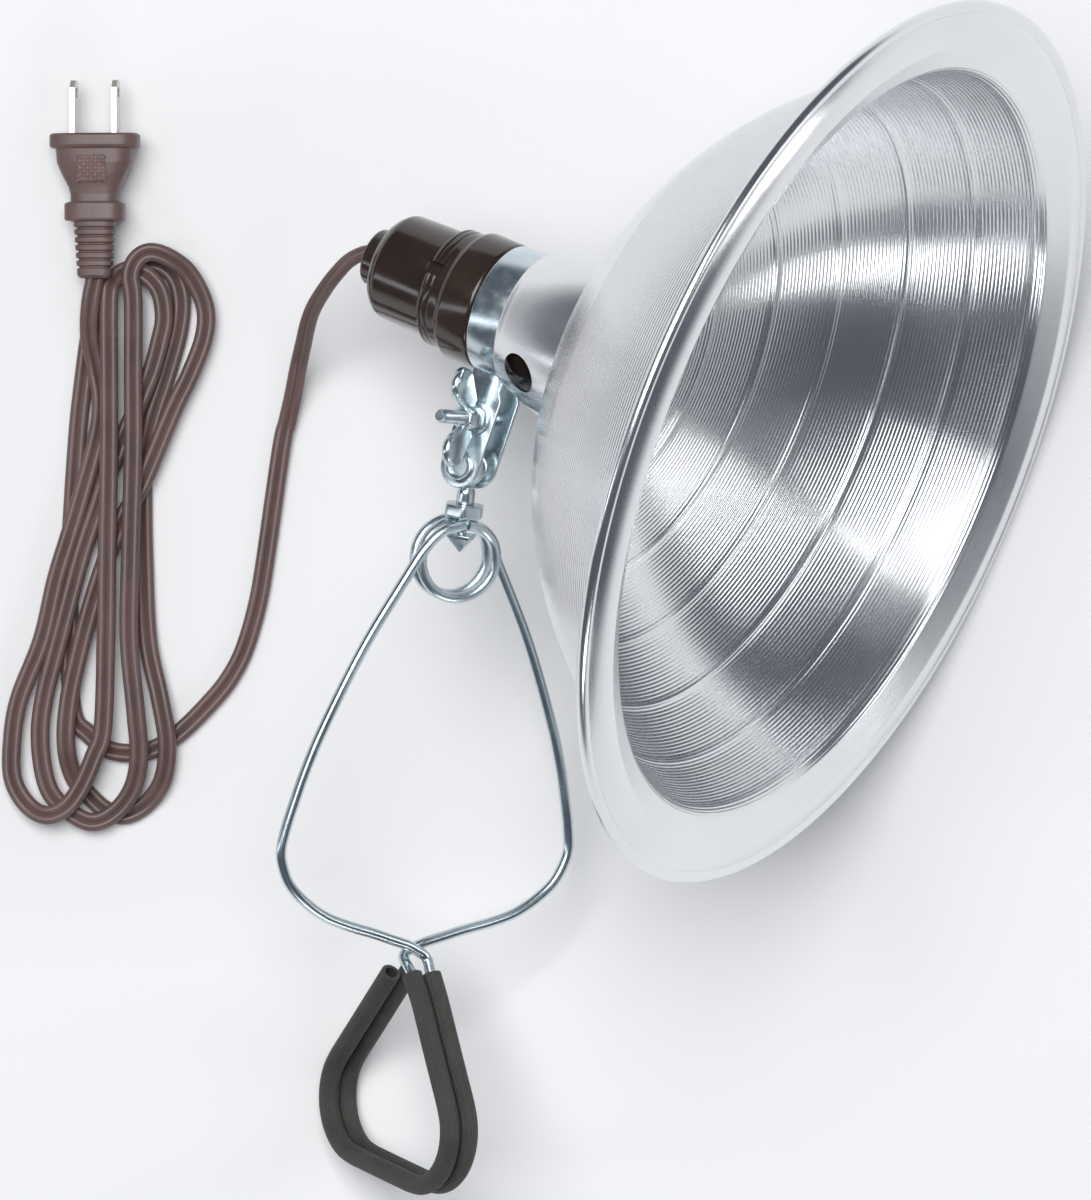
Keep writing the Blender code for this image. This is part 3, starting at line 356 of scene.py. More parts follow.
def polygon(sides, softness):
    """The radius of a regular polygon with soft corners, as a share of its corner radius.

    It is the p-norm of the distances to the sides, with p = 1 / softness.
    """
    def factor(angle):
        normals = (np.arange(sides) + 0.5) / sides * TAU
        reach = np.maximum(np.cos(angle[:, None] - normals), 0.0)
        power = 1.0 / softness
        return math.cos(math.pi / sides) / (reach ** power).sum(axis=1) ** (1 / power)
    return factor


def plate(outline, thickness, edge, axes):
    """A flat plate on an outline of (x, y), with round edges along both faces."""
    outline = np.asarray(outline, float)
    run = np.roll(outline, -1, axis=0) - np.roll(outline, 1, axis=0)
    run /= np.linalg.norm(run, axis=1, keepdims=True)
    area = (outline[:, 0] * np.roll(outline[:, 1], -1) - outline[:, 1] * np.roll(outline[:, 0], -1)).sum()
    inwards = np.stack((-run[:, 1], run[:, 0]), -1) * np.sign(area)
    quarter = np.linspace(0, math.pi / 2, 5)
    inset = np.concatenate((edge * (1 - np.sin(quarter)), edge * (1 - np.cos(quarter))))
    height = np.concatenate((edge * (1 - np.cos(quarter)), thickness - edge * (1 - np.sin(quarter))))
    flat = outline[None] + inwards[None] * inset[:, None, None]
    rings = np.concatenate((flat, np.broadcast_to(height[:, None, None], (*flat.shape[:2], 1))), -1)
    return skin(placed(rings, axes), flat_ends=True)


def catmull(points, spacing):
    """Points about a spacing apart on a Catmull-Rom curve, which passes through those given."""
    points = np.asarray(points, float)
    guides = np.vstack((2 * points[0] - points[1], points, 2 * points[-1] - points[-2]))
    before, start, end, after = guides[:-3], guides[1:-2], guides[2:-1], guides[3:]
    spans = np.maximum(1, np.rint(np.linalg.norm(end - start, axis=1) / spacing)).astype(int)
    which = np.repeat(np.arange(len(spans)), spans)
    t = (np.arange(len(which)) - np.repeat(np.cumsum(spans) - spans, spans)) / spans[which]
    t = t[:, None]
    a, b, c, d = before[which], start[which], end[which], after[which]
    curve = 0.5 * (2 * b + (c - a) * t + (2 * a - 5 * b + 4 * c - d) * t ** 2
                   + (3 * b - a - 3 * c + d) * t ** 3)
    return np.vstack((curve, points[-1:]))


def evenly(route, spacing):
    """The route's points moved to equal steps along it."""
    travel = np.concatenate(((0.0,), np.cumsum(np.linalg.norm(np.diff(route, axis=0), axis=1))))
    stops = np.linspace(0, travel[-1], max(2, round(travel[-1] / spacing) + 1))
    return np.stack([np.interp(stops, travel, route[:, k]) for k in range(3)], -1)


def swept(route, section, reference, roll=0.0):
    """A section of (side, up) carried along a route: P + x side + y up at each point.

    side is across the route and the reference, up is square to both, and roll turns them.
    """
    along = np.gradient(route, axis=0)
    along /= np.linalg.norm(along, axis=1, keepdims=True)
    reference = np.broadcast_to(np.asarray(reference, float), route.shape)
    side = np.cross(reference, along)
    side /= np.linalg.norm(side, axis=1, keepdims=True)
    up = np.cross(along, side)
    roll = np.broadcast_to(np.asarray(roll, float), len(route))[:, None]
    side, up = side * np.cos(roll) + up * np.sin(roll), up * np.cos(roll) - side * np.sin(roll)
    section = np.asarray(section, float)
    if section.ndim == 2:
        section = section[None]
    return route[:, None] + side[:, None] * section[..., :1] + up[:, None] * section[..., 1:]


def circle(radius, sides):
    return round_about(radius, np.arange(sides) / sides * TAU, 0.0)[:, :2]


def super_ring(half_width, half_depth, power, count):
    """Points on |x/w|^p + |z/d|^p = 1, for one section or for many along a length."""
    angle = (np.arange(count) + 0.5) / count * TAU
    cosine, sine = np.cos(angle), np.sin(angle)
    x = np.sign(cosine) * np.abs(cosine) ** (2 / power)
    z = np.sign(sine) * np.abs(sine) ** (2 / power)
    return np.multiply.outer(half_width, x), np.multiply.outer(half_depth, z)


# Finishes

def new_group(name, inputs, outputs):
    """A shader node group with its sockets, and its input and output nodes."""
    group = bpy.data.node_groups.new(name, "ShaderNodeTree")
    for label, kind, default in inputs:
        made = group.interface.new_socket(name=label, in_out="INPUT", socket_type=kind)
        made.default_value = default
    for label, kind in outputs:
        group.interface.new_socket(name=label, in_out="OUTPUT", socket_type=kind)
    return group, group.nodes.new("NodeGroupInput"), group.nodes.new("NodeGroupOutput")


def add(tree, kind, values=(), **settings):
    """A new node with its settings, and the values of its unlinked inputs as (name, value)."""
    node = tree.nodes.new(kind)
    for key, value in settings.items():
        setattr(node, key, value)
    for label, value in values:
        node.inputs[label].default_value = value
    return node


def link(tree, *wires):
    """Joins sockets, each wire given as (node, its output, other node, its input)."""
    for source, outlet, target, inlet in wires:
        tree.links.new(source.outputs[outlet], target.inputs[inlet])


def math_node(tree, operation, first, second):
    """One arithmetic step, whose inputs are sockets or numbers."""
    node = add(tree, "ShaderNodeMath", operation=operation)
    for socket, value in zip(node.inputs, (first, second)):
        if isinstance(value, bpy.types.NodeSocket):
            tree.links.new(value, socket)
        else:
            socket.default_value = value
    return node.outputs[0]


def uneven_group():
    """Soft patches of two colours and two roughnesses, from noise on object coordinates."""
    group, given, out = new_group("uneven finish", (
        ("First Colour", "NodeSocketColor", (0.5, 0.5, 0.5, 1.0)),
        ("Second Colour", "NodeSocketColor", (0.5, 0.5, 0.5, 1.0)),
        ("First Roughness", "NodeSocketFloat", 0.3), ("Second Roughness", "NodeSocketFloat", 0.4),
        ("Scale", "NodeSocketFloat", 40.0),
    ), (("Colour", "NodeSocketColor"), ("Roughness", "NodeSocketFloat")))
    place = add(group, "ShaderNodeTexCoord")
    noise = add(group, "ShaderNodeTexNoise", (("Detail", 5.0),))
    spread = add(group, "ShaderNodeMapRange", (("From Min", 0.32), ("From Max", 0.68)),
                 interpolation_type="SMOOTHSTEP")
    colours = add(group, "ShaderNodeMix", data_type="RGBA")
    rough = add(group, "ShaderNodeMapRange")
    link(group, (place, "Object", noise, "Vector"), (given, "Scale", noise, "Scale"),
         (noise, "Fac", spread, "Value"), (spread, "Result", colours, "Factor"),
         (given, "First Colour", colours, "A"), (given, "Second Colour", colours, "B"),
         (colours, "Result", out, "Colour"), (spread, "Result", rough, "Value"),
         (given, "First Roughness", rough, "To Min"), (given, "Second Roughness", rough, "To Max"),
         (rough, "Result", out, "Roughness"))
    return group


def lines_group():
    """Fine lines as a bumped normal: a wave of U times Around plus V times Along, and grain.

    U goes once round a piece and V is the way along it in metres.
    """
    group, given, out = new_group("fine lines", (
        ("Around", "NodeSocketFloat", 0.0), ("Along", "NodeSocketFloat", 0.0),
        ("Depth", "NodeSocketFloat", 0.0001), ("Grain", "NodeSocketFloat", 0.2),
        ("Grain Scale", "NodeSocketFloat", 900.0),
    ), (("Normal", "NodeSocketVector"),))
    place = add(group, "ShaderNodeTexCoord")
    parts = add(group, "ShaderNodeSeparateXYZ")
    noise = add(group, "ShaderNodeTexNoise", (("Detail", 3.0),))
    link(group, (place, "UV", parts, "Vector"), (place, "Object", noise, "Vector"),
         (given, "Grain Scale", noise, "Scale"))
    around = math_node(group, "MULTIPLY", parts.outputs["X"], given.outputs["Around"])
    along = math_node(group, "MULTIPLY", parts.outputs["Y"], given.outputs["Along"])
    turns = math_node(group, "ADD", around, along)
    wave = math_node(group, "SINE", math_node(group, "MULTIPLY", turns, TAU), 0.0)
    grain = math_node(group, "MULTIPLY", noise.outputs["Fac"], given.outputs["Grain"])
    height = math_node(group, "ADD", math_node(group, "MULTIPLY", wave, 0.5), grain)
    bump = add(group, "ShaderNodeBump")
    group.links.new(height, bump.inputs["Height"])
    link(group, (given, "Depth", bump, "Distance"), (bump, "Normal", out, "Normal"))
    return group


UNEVEN = uneven_group()
LINES = lines_group()


def finish(name, colour, spread, roughness, metallic, scale, lines, own=()):
    """A finish of a colour in darker and lighter patches, with fine lines and grain.

    roughness is the two patches' roughness, scale the patches' fineness, lines the values of
    the fine lines' inputs in order, and own the shader's own values as (socket, value).
    """
    made = bpy.data.materials.new(name)
    made.use_nodes = True
    tree = made.node_tree
    shader = tree.nodes["Principled BSDF"]
    for label, value in (("Metallic", metallic), *own):
        shader.inputs[label].default_value = value
    darker, lighter = ([*(channel * factor for channel in colour), 1.0]
                       for factor in (1 - spread, 1 + spread))
    uneven = add(tree, "ShaderNodeGroup", node_tree=UNEVEN)
    drawn = add(tree, "ShaderNodeGroup", node_tree=LINES)
    for node, values in ((uneven, (darker, lighter, *roughness, scale)), (drawn, lines)):
        for socket, value in zip(node.inputs, values):
            socket.default_value = value
    link(tree, (uneven, "Colour", shader, "Base Color"), (uneven, "Roughness", shader, "Roughness"),
         (drawn, "Normal", shader, "Normal"))
    if "Anisotropic" in dict(own):
        around = add(tree, "ShaderNodeTangent", direction_type="UV_MAP", uv_map="UVMap")
        link(tree, (around, "Tangent", shader, "Tangent"))
    return made


# Settings

def length(label, millimetres, about):
    return FloatProperty(name=label, description=about, default=millimetres * MM, min=0.0,
                         unit="LENGTH", precision=5)


def tint(label, value, about):
    return FloatVectorProperty(name=label, description=about, default=value, subtype="COLOR",
                               min=0.0, max=1.0)


class ReflectorSizes(bpy.types.PropertyGroup):
    rim_radius: length("Rim radius", 133.5, "Outer radius of the rolled rim")
    roll_radius: length("Roll radius", 1.7, "Radius of the rim's rolled edge")
    brim_width: length("Brim width", 20.0, "Width of the smooth brim")
    brim_depth: length("Brim depth", 3.0, "How far back the brim reaches")
    brim_crease: length("Brim crease", 3.0, "How far the crease stands before the brim")
    neck_radius: length("Neck radius", 28.0, "Radius where the bowl meets the neck")
    neck_end_radius: length("Neck end radius", 20.8, "Radius at the neck's narrow end")
    sheet: length("Sheet", REFLECTOR_SHEET / MM, "Thickness of the spun sheet")
    vent_radius: length("Vent radius", 6.0, "Radius of the two vent holes")
    vent_back: length("Vent place", 96.0, "Distance of the vents behind the mouth")
    ring_height: length("Ring height", 0.45, "Height of the bowl's bright rings")


class SocketSizes(bpy.types.PropertyGroup):
    skirt_radius: length("Skirt radius", 19.3, "Radius of the skirt against the band")
    skirt_length: length("Skirt length", 11.0, "Length of the skirt")
    step_radius: length("Step radius", 17.9, "Radius of the step behind the skirt")
    step_length: length("Step length", 7.5, "Length of the step")
    shell_radius: length("Shell radius", 16.3, "Radius of the plain shell")
    shell_length: length("Shell length", 16.5, "Length of the plain shell")
    shoulder_radius: length("Shoulder radius", 12.0, "Radius where the shoulder ends")
    shoulder_length: length("Shoulder length", 4.5, "Length of the round shoulder")
    boss_radius: length("Boss radius", 8.6, "Radius of the cord's boss")
    boss_length: length("Boss length", 5.5, "Length of the cord's boss")
    body_wall: length("Wall", 2.6, "Wall thickness of the moulding")
    thread_radius: length("Thread radius", 13.9, "Outer radius of the screw shell")
    thread_pitch: length("Thread pitch", 3.63, "Pitch of the bulb's thread")
    thread_depth: length("Thread depth", 0.75, "Depth of the bulb's thread")
    thread_length: length("Thread length", 25.0, "Length of the screw shell")


class BandSizes(bpy.types.PropertyGroup):
    sheet: length("Sheet", 1.2, "Thickness of the band and its ears")
    ear_gap: length("Ear gap", 9.8, "Space between the ears")
    ear_width: length("Ear width", 12.4, "Width of an ear about the ball")
    bolt_radius: length("Bolt radius", 2.05, "Outer radius of the bolt's thread")
    bolt_proud: length("Bolt end", 28.0, "How far the bolt's tip stands from the middle")
    bolt_pitch: length("Bolt pitch", 1.0, "Pitch of the bolt's thread")
    hub_radius: length("Hub radius", 4.5, "Corner radius of the wing nut's hub")
    hub_height: length("Hub height", 6.0, "Height of the wing nut's hub")
    wing_radius: length("Wing radius", 5.2, "Radius of each wing's round end")
    wing_thickness: length("Wing thickness", 3.0, "Thickness of each wing")
    wing_spread: length("Wing spread", 9.4, "Distance of each wing's middle from the bolt")
    wing_lift: length("Wing lift", 9.2, "Height of each wing's middle above the hub's base")


class ClampSizes(bpy.types.PropertyGroup):
    ball_radius: length("Ball radius", 5.3, "Radius of the swivel's ball")
    stud_radius: length("Stud radius", 2.7, "Radius of the stud under the ball")
    collar_radius: length("Collar radius", 6.3, "Corner radius of the six-sided collar")
    collar_height: length("Collar height", 3.8, "Height of the collar")
    collar_drop: length("Collar drop", 10.9, "Distance of the collar below the ball")
    tip_radius: length("Nut radius", 4.9, "Corner radius of the pointed nut")
    tip_height: length("Nut height", 5.6, "Height of the pointed nut")
    wire_radius: length("Wire radius", 1.6, "Radius of the spring's wire")
    coil_radius: length("Coil radius", 11.2, "Middle radius of the coil's turns")
    handle_half_width: length("Handle half width", 48.0, "Reach of each handle to its side")
    handle_length: length("Handle length", 116.4, "Distance from the coil to the crossing")
    sleeve_radius: length("Sleeve radius", 3.0, "Outer radius of the jaws' rubber")
    jaw_length: length("Jaw length", 67.5, "Length of each jaw's loop")
    jaw_corner: length("Jaw corner", 16.7, "Radius of the jaws' two corners")


class CordSizes(bpy.types.PropertyGroup):
    width: length("Cord width", 5.6, "Width of the flat two-wire cord")
    thickness: length("Cord thickness", 2.8, "Thickness of the cord")
    whole: length("Cord length", 1450.0, "Length from the socket to the plug")
    plug_width: length("Plug width", 26.8, "Width of the plug's flange")
    plug_depth: length("Plug depth", 13.2, "Depth of the plug's flange")


class Colours(bpy.types.PropertyGroup):
    aluminium: tint("Aluminium", (0.80, 0.81, 0.83), "The reflector's sheet")
    phenolic: tint("Phenolic", (0.030, 0.018, 0.013), "The socket's moulding")
    zinc: tint("Zinc", (0.62, 0.71, 0.75), "The band, nuts and wire")
    brass: tint("Brass", (0.75, 0.55, 0.25), "The socket's metal")
    nickel: tint("Nickel", (0.26, 0.26, 0.25), "The plug's blades")
    fibre: tint("Fibre", (0.22, 0.08, 0.05), "The insulating disc")
    rubber: tint("Rubber", (0.050, 0.052, 0.045), "The jaws' sleeves")
    vinyl: tint("Vinyl", (0.135, 0.085, 0.078), "The cord and plug")
    # The pads' tint is 1.5 times the vinyl: the lighter tone paints the knurl's highlight as well as wear
    rubbed_vinyl: tint("Rubbed vinyl", (0.2025, 0.1275, 0.117), "The plug's pads, with painted highlight and wear")
    floor: tint("Floor", (0.93, 0.93, 0.93), "The surface that the lamp lies on")


class HeatLamp(bpy.types.PropertyGroup):
    reflector: PointerProperty(type=ReflectorSizes)
    socket: PointerProperty(type=SocketSizes)
    band: PointerProperty(type=BandSizes)
    clamp: PointerProperty(type=ClampSizes)
    cord: PointerProperty(type=CordSizes)
    colours: PointerProperty(type=Colours)


# Colour, spread, the two patches' roughness, metallic, patch scale, then the fine lines'
# turns around, turns along a metre, depth, grain and grain scale, then the shader's own values
FINISHES = {
    "spun aluminium": (
        "aluminium", 0.03, (0.22, 0.26), 1.0, 30.0, (0.0, 900.0, 0.00009, 0.06, 700.0),
        (("Anisotropic", 0.75), ("Anisotropic Rotation", 0.25))),
    "bright aluminium": (
        "aluminium", 0.03, (0.16, 0.24), 1.0, 18.0, (0.0, 2600.0, 0.00001, 0.5, 500.0),
        (("Anisotropic", 0.5), ("Anisotropic Rotation", 0.25))),
    "brown phenolic": (
        "phenolic", 0.15, (0.14, 0.24), 0.0, 90.0, (0.0, 0.0, 0.00004, 1.0, 420.0),
        (("Coat Weight", 0.4), ("Coat Roughness", 0.08))),
    "zinc plate": ("zinc", 0.06, (0.20, 0.28), 1.0, 260.0, (0.0, 0.0, 0.000012, 1.0, 1600.0)),
    "zinc wire": ("zinc", 0.05, (0.20, 0.28), 1.0, 60.0, (9.0, 0.0, 0.000012, 0.8, 900.0)),
    "brass": ("brass", 0.10, (0.24, 0.38), 1.0, 140.0, (0.0, 0.0, 0.00003, 1.0, 900.0)),
    "nickel": ("nickel", 0.08, (0.34, 0.46), 1.0, 180.0, (0.0, 0.0, 0.00003, 1.0, 1100.0)),
    "vulcanised fibre": ("fibre", 0.18, (0.55, 0.70), 0.0, 260.0, (0.0, 0.0, 0.00008, 1.0, 700.0)),
    "ribbed rubber": ("rubber", 0.20, (0.55, 0.72), 0.0, 120.0, (26.0, 0.0, 0.00016, 0.5, 900.0)),
    "brown vinyl": ("vinyl", 0.12, (0.34, 0.42), 0.0, 70.0, (0.0, 0.0, 0.00004, 1.0, 800.0)),
    # The pads' lighter colour is painted highlight on the knurl, along with wear
    "rubbed vinyl": ("rubbed_vinyl", 0.15, (0.28, 0.40), 0.0, 300.0, (0.0, 0.0, 0.00004, 1.0, 800.0)),
}


def made_finish(name):
    """The named finish, made on first use from the scene's colours."""
    if name in bpy.data.materials:
        return bpy.data.materials[name]
    colour, *recipe = FINISHES[name]
    return finish(name, getattr(bpy.context.scene.heat_lamp.colours, colour), *recipe)


# The head

VENT_ANGLE = math.radians(57.4)
NOTCH_ANGLE = math.radians(109)
WING_TURN = math.radians(12)
RING_PLACES = np.array((0.02, 0.17, 0.33, 0.50, 0.67, 0.84))


def reflector_outline(sizes):
    """The spun sheet's closed outline as (radius, back), and which rows carry the grooves.

    The rim is a circle's arc. The brim runs in with its depth growing as the share of its
    width to the power 1.25, less a crease that rises as a parabola to the middle and falls
    straight. The bowl is an arc of a sphere centred in front of the mouth, and the neck a
    straight taper with a slight sine bulge. The inside is the outside moved by the sheet's
    thickness, and by the rings' height where they stand, along the profile's normal.
    """
    root_radius = sizes.rim_radius - sizes.brim_width
    rise = REFLECTOR_DEPTH - sizes.brim_depth
    forward = (root_radius ** 2 - sizes.neck_radius ** 2 - rise ** 2) / (2 * rise)
    sphere = math.hypot(root_radius, forward)
    bowl = arc((0.0, sizes.brim_depth - forward), sphere, math.atan2(forward, root_radius),
               math.atan2(forward + rise, sizes.neck_radius), 120)
    share = np.linspace(0, 1, 33)[:-1]
    rim_inside = sizes.rim_radius - 2 * sizes.roll_radius
    rise_share, fall_share = np.clip(2 * share, 0, 1), np.clip(2 * share - 1, 0, 1)
    crease = sizes.brim_crease * (1 - (1 - rise_share) ** 2 - fall_share)
    brim = np.stack((rim_inside + (root_radius - rim_inside) * share,
                     sizes.roll_radius + (bowl[0, 1] - sizes.roll_radius) * share ** 1.25 - crease), -1)
    share = np.linspace(0, 1, 21)[1:]
    narrowing = (sizes.neck_end_radius - sizes.neck_radius) * share
    neck = np.stack((sizes.neck_radius + narrowing + 0.8 * MM * np.sin(math.pi * share),
                     REFLECTOR_DEPTH + NECK_LENGTH * share), -1)
    collar_radius = SLEEVE_RADIUS + GAP + sizes.sheet
    lip = arc((collar_radius + 1.6 * MM, NECK_END), 1.3 * MM, 0.0, 0.7 * math.pi, 6)
    collar = np.array(((collar_radius, NECK_END + 0.6 * MM),
                       (collar_radius, BAND_END - 0.8 * MM)))
    outside = np.vstack((brim, bowl, neck[:-1], lip, collar))
    run = np.gradient(outside, axis=0)
    run /= np.linalg.norm(run, axis=1, keepdims=True)
    normal = np.stack((-run[:, 1], run[:, 0]), -1)
    rows = np.arange(len(outside))
    ring_rows = len(brim) + len(bowl) * RING_PLACES
    ridge = np.exp(-((rows[:, None] - ring_rows) / 0.8) ** 2).sum(axis=1) * sizes.ring_height
    inside = outside + normal * (sizes.sheet + ridge)[:, None]
    plain = len(brim) + len(bowl) + len(neck) - 2
    inside[plain:] = np.stack((np.maximum(outside[plain:, 0] - sizes.sheet - 1.0 * MM,
                                          collar_radius - sizes.sheet), outside[plain:, 1]), -1)
    inside[-2:, 0] = collar_radius - sizes.sheet
    roll_middle = (sizes.rim_radius - sizes.roll_radius, sizes.roll_radius)
    roll = arc(roll_middle, sizes.roll_radius, math.radians(-115), math.radians(140), 14)
    outline = np.vstack((roll, outside[1:], inside[:0:-1]))
    grooved = np.zeros(len(outline), bool)
    start = len(roll) - 1 + len(brim)
    grooved[start:start + len(bowl) // 2] = True
    stop = len(roll) - 1 + 2 * len(outside) - len(brim)
    grooved[stop - len(bowl):stop] = True
    return outline, grooved


def make_reflector(sizes):
    """The spun reflector with its rolled rim, its bright rings and its two vents."""
    outline, grooved = reflector_outline(sizes)
    around = 208
    made = piece("spun_reflector", [turned(outline, around, HEAD, True)],
                 "bright aluminium", "head", ("reflector",))
    made.data.materials.append(made_finish("spun aluminium"))
    made.data.polygons.foreach_set("material_index", np.repeat(grooved, around).astype(np.int32))
    drill = shifted(HEAD, (0.0, 0.0, sizes.vent_back), turned_about_z(VENT_ANGLE)[[1, 2, 0]])
    reach = sizes.neck_radius + 6 * MM
    carve(made, [turned(((sizes.vent_radius, -reach), (sizes.vent_radius, reach)), 48, drill)])


def make_socket(sizes):
    """The moulded shell, its sleeve and the threaded shell that takes the bulb."""
    step = SKIRT_START + sizes.skirt_length
    shell = step + sizes.step_length
    shoulder = shell + sizes.shell_length
    boss = shoulder + sizes.shoulder_length
    end = boss + sizes.boss_length
    cavity = sizes.shell_radius - sizes.body_wall
    line = 0.22 * MM
    profile = [(cavity, SKIRT_START), (sizes.skirt_radius, SKIRT_START),
               (sizes.skirt_radius + 0.2 * MM, step - 0.3 * MM), (sizes.step_radius, step + 0.4 * MM)]
    for place in (0.55, 0.80):
        middle = step + place * sizes.step_length
        profile += [(sizes.step_radius, middle - line), (sizes.step_radius - line, middle - 0.3 * line),
                    (sizes.step_radius - line, middle + 0.3 * line), (sizes.step_radius, middle + line)]
    profile += [(sizes.step_radius, shell - 0.4 * MM), (sizes.shell_radius, shell),
                (sizes.shell_radius - 0.4 * MM, shoulder + 1.0 * MM),
                (sizes.shoulder_radius + 1.6 * MM, boss - 0.6 * MM), (sizes.boss_radius, boss + 0.3 * MM),
                (sizes.boss_radius, end), (3.0 * MM, end), (3.0 * MM, shoulder + 3.6 * MM),
                (cavity, shoulder + 1.0 * MM)]
    moulded = piece("socket_shell", [turned(rounded(profile, 1.1 * MM, True), 96, HEAD, True)],
                    "brown phenolic", "head", ("socket_body",))
    outwards = turned_about_z(NOTCH_ANGLE)
    place = outwards[0] * (sizes.step_radius + 0.6 * MM) + (0.0, 0.0, shell - 1.5 * MM)
    notch = shifted(HEAD, place, outwards)
    outline = rounded(rectangle(-3.2 * MM, 3.2 * MM, -2.0 * MM, 2.0 * MM), 0.8 * MM, True)
    depth = np.array(((-3.0 * MM,), (3.0 * MM,)))
    rings = np.stack(np.broadcast_arrays(depth, outline[:, 1], outline[:, 0]), -1)
    carve(moulded, [skin(placed(rings, notch), flat_ends=True)])

    sleeve_end = SKIRT_START - GAP
    sleeve_start = sleeve_end - SLEEVE_LENGTH
    bore = SLEEVE_RADIUS - SLEEVE_WALL
    sleeve = ((bore, sleeve_start), (bore, sleeve_end), (SLEEVE_RADIUS, sleeve_end),
              (SLEEVE_RADIUS, sleeve_start))
    piece("socket_mouth", [turned(rounded(sleeve, 0.8 * MM, True), 80, HEAD, True)],
          "brown phenolic", "head", ("socket_sleeve",))

    shell_end = SKIRT_START - 4.5 * MM - GAP
    angle = np.arange(64) / 64 * TAU
    back = np.linspace(shell_end - sizes.thread_length, shell_end, 97)[:, None]
    wave = 0.5 - 0.5 * np.cos(TAU * back / sizes.thread_pitch - angle)
    radius = sizes.thread_radius - sizes.thread_depth * wave
    outer = round_about(radius, angle, back)
    inner = round_about(radius - SCREW_SHEET, angle, back)
    piece("threaded_shell", [skin(placed(np.concatenate((outer, inner[::-1])), HEAD), True)],
          "brass", "head", ("screw_shell",))


def make_band(sizes):
    """The band with its ears, the threaded bolt and its washer."""
    inner = SLEEVE_RADIUS + GAP + REFLECTOR_SHEET + GAP
    outer = inner + sizes.sheet
    opening = math.asin(0.5 * sizes.ear_gap / inner)
    angle = np.linspace(opening, TAU - opening, 120)[:, None]
    section = rounded(rectangle(inner, outer, BAND_START, BAND_END), 0.4 * MM, True)
    rings = round_about(section[:, 0], angle, section[:, 1])
    surfaces = [skin(placed(rings, HEAD), flat_ends=True)]

    half = sizes.ear_width / 2
    middle = EAR_MIDDLE
    clear = 22.5 * MM
    root = inner * math.cos(opening) - 0.2 * MM
    high, low = middle - BAND_START, middle - BAND_END
    outline = np.vstack((
        ((clear, high), (root, high), (root, low), (clear, low), (clear + 2.5 * MM, -half)),
        arc((BALL_REACH, 0.0), half, -math.pi / 2, math.pi / 2, 24), ((clear + 2.5 * MM, half),)))
    cup = rounded(((2.8 * MM, -0.3 * MM), (4.9 * MM, -0.3 * MM), (4.9 * MM, 0.25 * MM),
                   (3.9 * MM, 0.9 * MM), (2.8 * MM, 0.9 * MM)), 0.3 * MM, True)
    for side in (1, -1):
        place = shifted(HEAD, (0.0, side * (sizes.ear_gap / 2 + sizes.sheet / 2), middle), ALONG_BOLT)
        face = shifted(place, (0.0, 0.0, -sizes.sheet / 2))
        surfaces.append(plate(outline, sizes.sheet, 0.35 * MM, face))
        ring = np.stack((cup[:, 0], side * (cup[:, 1] + sizes.sheet / 2)), -1)
        surfaces.append(turned(ring, 48, shifted(place, (BALL_REACH, 0.0, 0.0)), True))
    piece("band_with_ears", surfaces, "zinc plate", "head", ("socket_band",))

    bolt = shifted(HEAD, (BOLT_REACH, 0.0, middle), ALONG_BOLT)
    ear_face = sizes.ear_gap / 2 + sizes.sheet
    under = -ear_face - GAP
    turns = np.arange(40) / 40 * TAU
    height = np.linspace(under, sizes.bolt_proud - 0.8 * MM, 300)[:, None]
    thread = 0.5 + 0.5 * np.cos(TAU * height / sizes.bolt_pitch - turns)
    fade = np.clip((height - ear_face) / (2 * MM), 0, 1)
    radius = sizes.bolt_radius - 0.42 * MM * thread * fade
    shank = round_about(radius, turns, height)
    tip = shank[-1] * (0.75, 0.75, 0.0) + (0.0, 0.0, sizes.bolt_proud)
    head = rounded(((AXIS_HOLE, under - 2.6 * MM), (3.2 * MM, under - 2.6 * MM),
                    (4.0 * MM, under - 1.3 * MM), (4.0 * MM, under), (AXIS_HOLE, under)), 0.7 * MM)
    piece("threaded_bolt", [skin(placed(np.concatenate((shank, tip[None])), bolt)),
                            turned(head, 48, bolt)],
          "zinc plate", "head", ("clamp_bolt",))
    start = ear_face + GAP
    washer = rounded(rectangle(sizes.bolt_radius + GAP, 5.0 * MM, start, start + WASHER_THICKNESS),
                     0.25 * MM, True)
    piece("round_washer", [turned(washer, 56, bolt, True)], "zinc plate", "head",
          ("washer",))


def make_wing_nut(sizes):
    """The wing nut: a soft six-sided hub and two thick round wings that flare outwards."""
    base = sizes.ear_gap / 2 + sizes.sheet + 2 * GAP + WASHER_THICKNESS
    turn = turned_about_z(WING_TURN) @ ALONG_BOLT
    nut = shifted(HEAD, (BOLT_REACH, 0.0, EAR_MIDDLE), turn)
    top = base + sizes.hub_height
    bore = sizes.bolt_radius + 0.15 * MM
    hub = rounded(((bore, base), (sizes.hub_radius, base), (sizes.hub_radius, top - 1.2 * MM),
                   (sizes.hub_radius - 1.4 * MM, top + 0.6 * MM), (bore, top + 0.6 * MM)), 0.8 * MM, True)
    surfaces = [turned(hub, 72, nut, True, polygon(6, 0.09))]
    for side in (1, -1):
        root = np.array((side * (sizes.bolt_radius + 1.3 * MM), base + 2.0 * MM))
        tip = np.array((side * sizes.wing_spread, base + sizes.wing_lift))
        lean = math.atan2(*(tip - root)[::-1])
        round_end = arc(tip, sizes.wing_radius, lean - 0.64 * math.pi, lean + 0.64 * math.pi, 30)
        foot = 2.5 * MM * np.array((math.sin(lean), -math.cos(lean)))
        outline = rounded(np.vstack((round_end, root - foot, root + foot)), 1.2 * MM, True)
        upright = shifted(nut, (0.0, sizes.wing_thickness / 2, 0.0), ALONG_BOLT * ((1,), (-1,), (-1,)))
        surfaces.append(plate(outline, sizes.wing_thickness, 1.25 * MM, upright))
    piece("winged_nut", surfaces, "zinc plate", "wing_nut", ("wing_nut",))


# The clamp

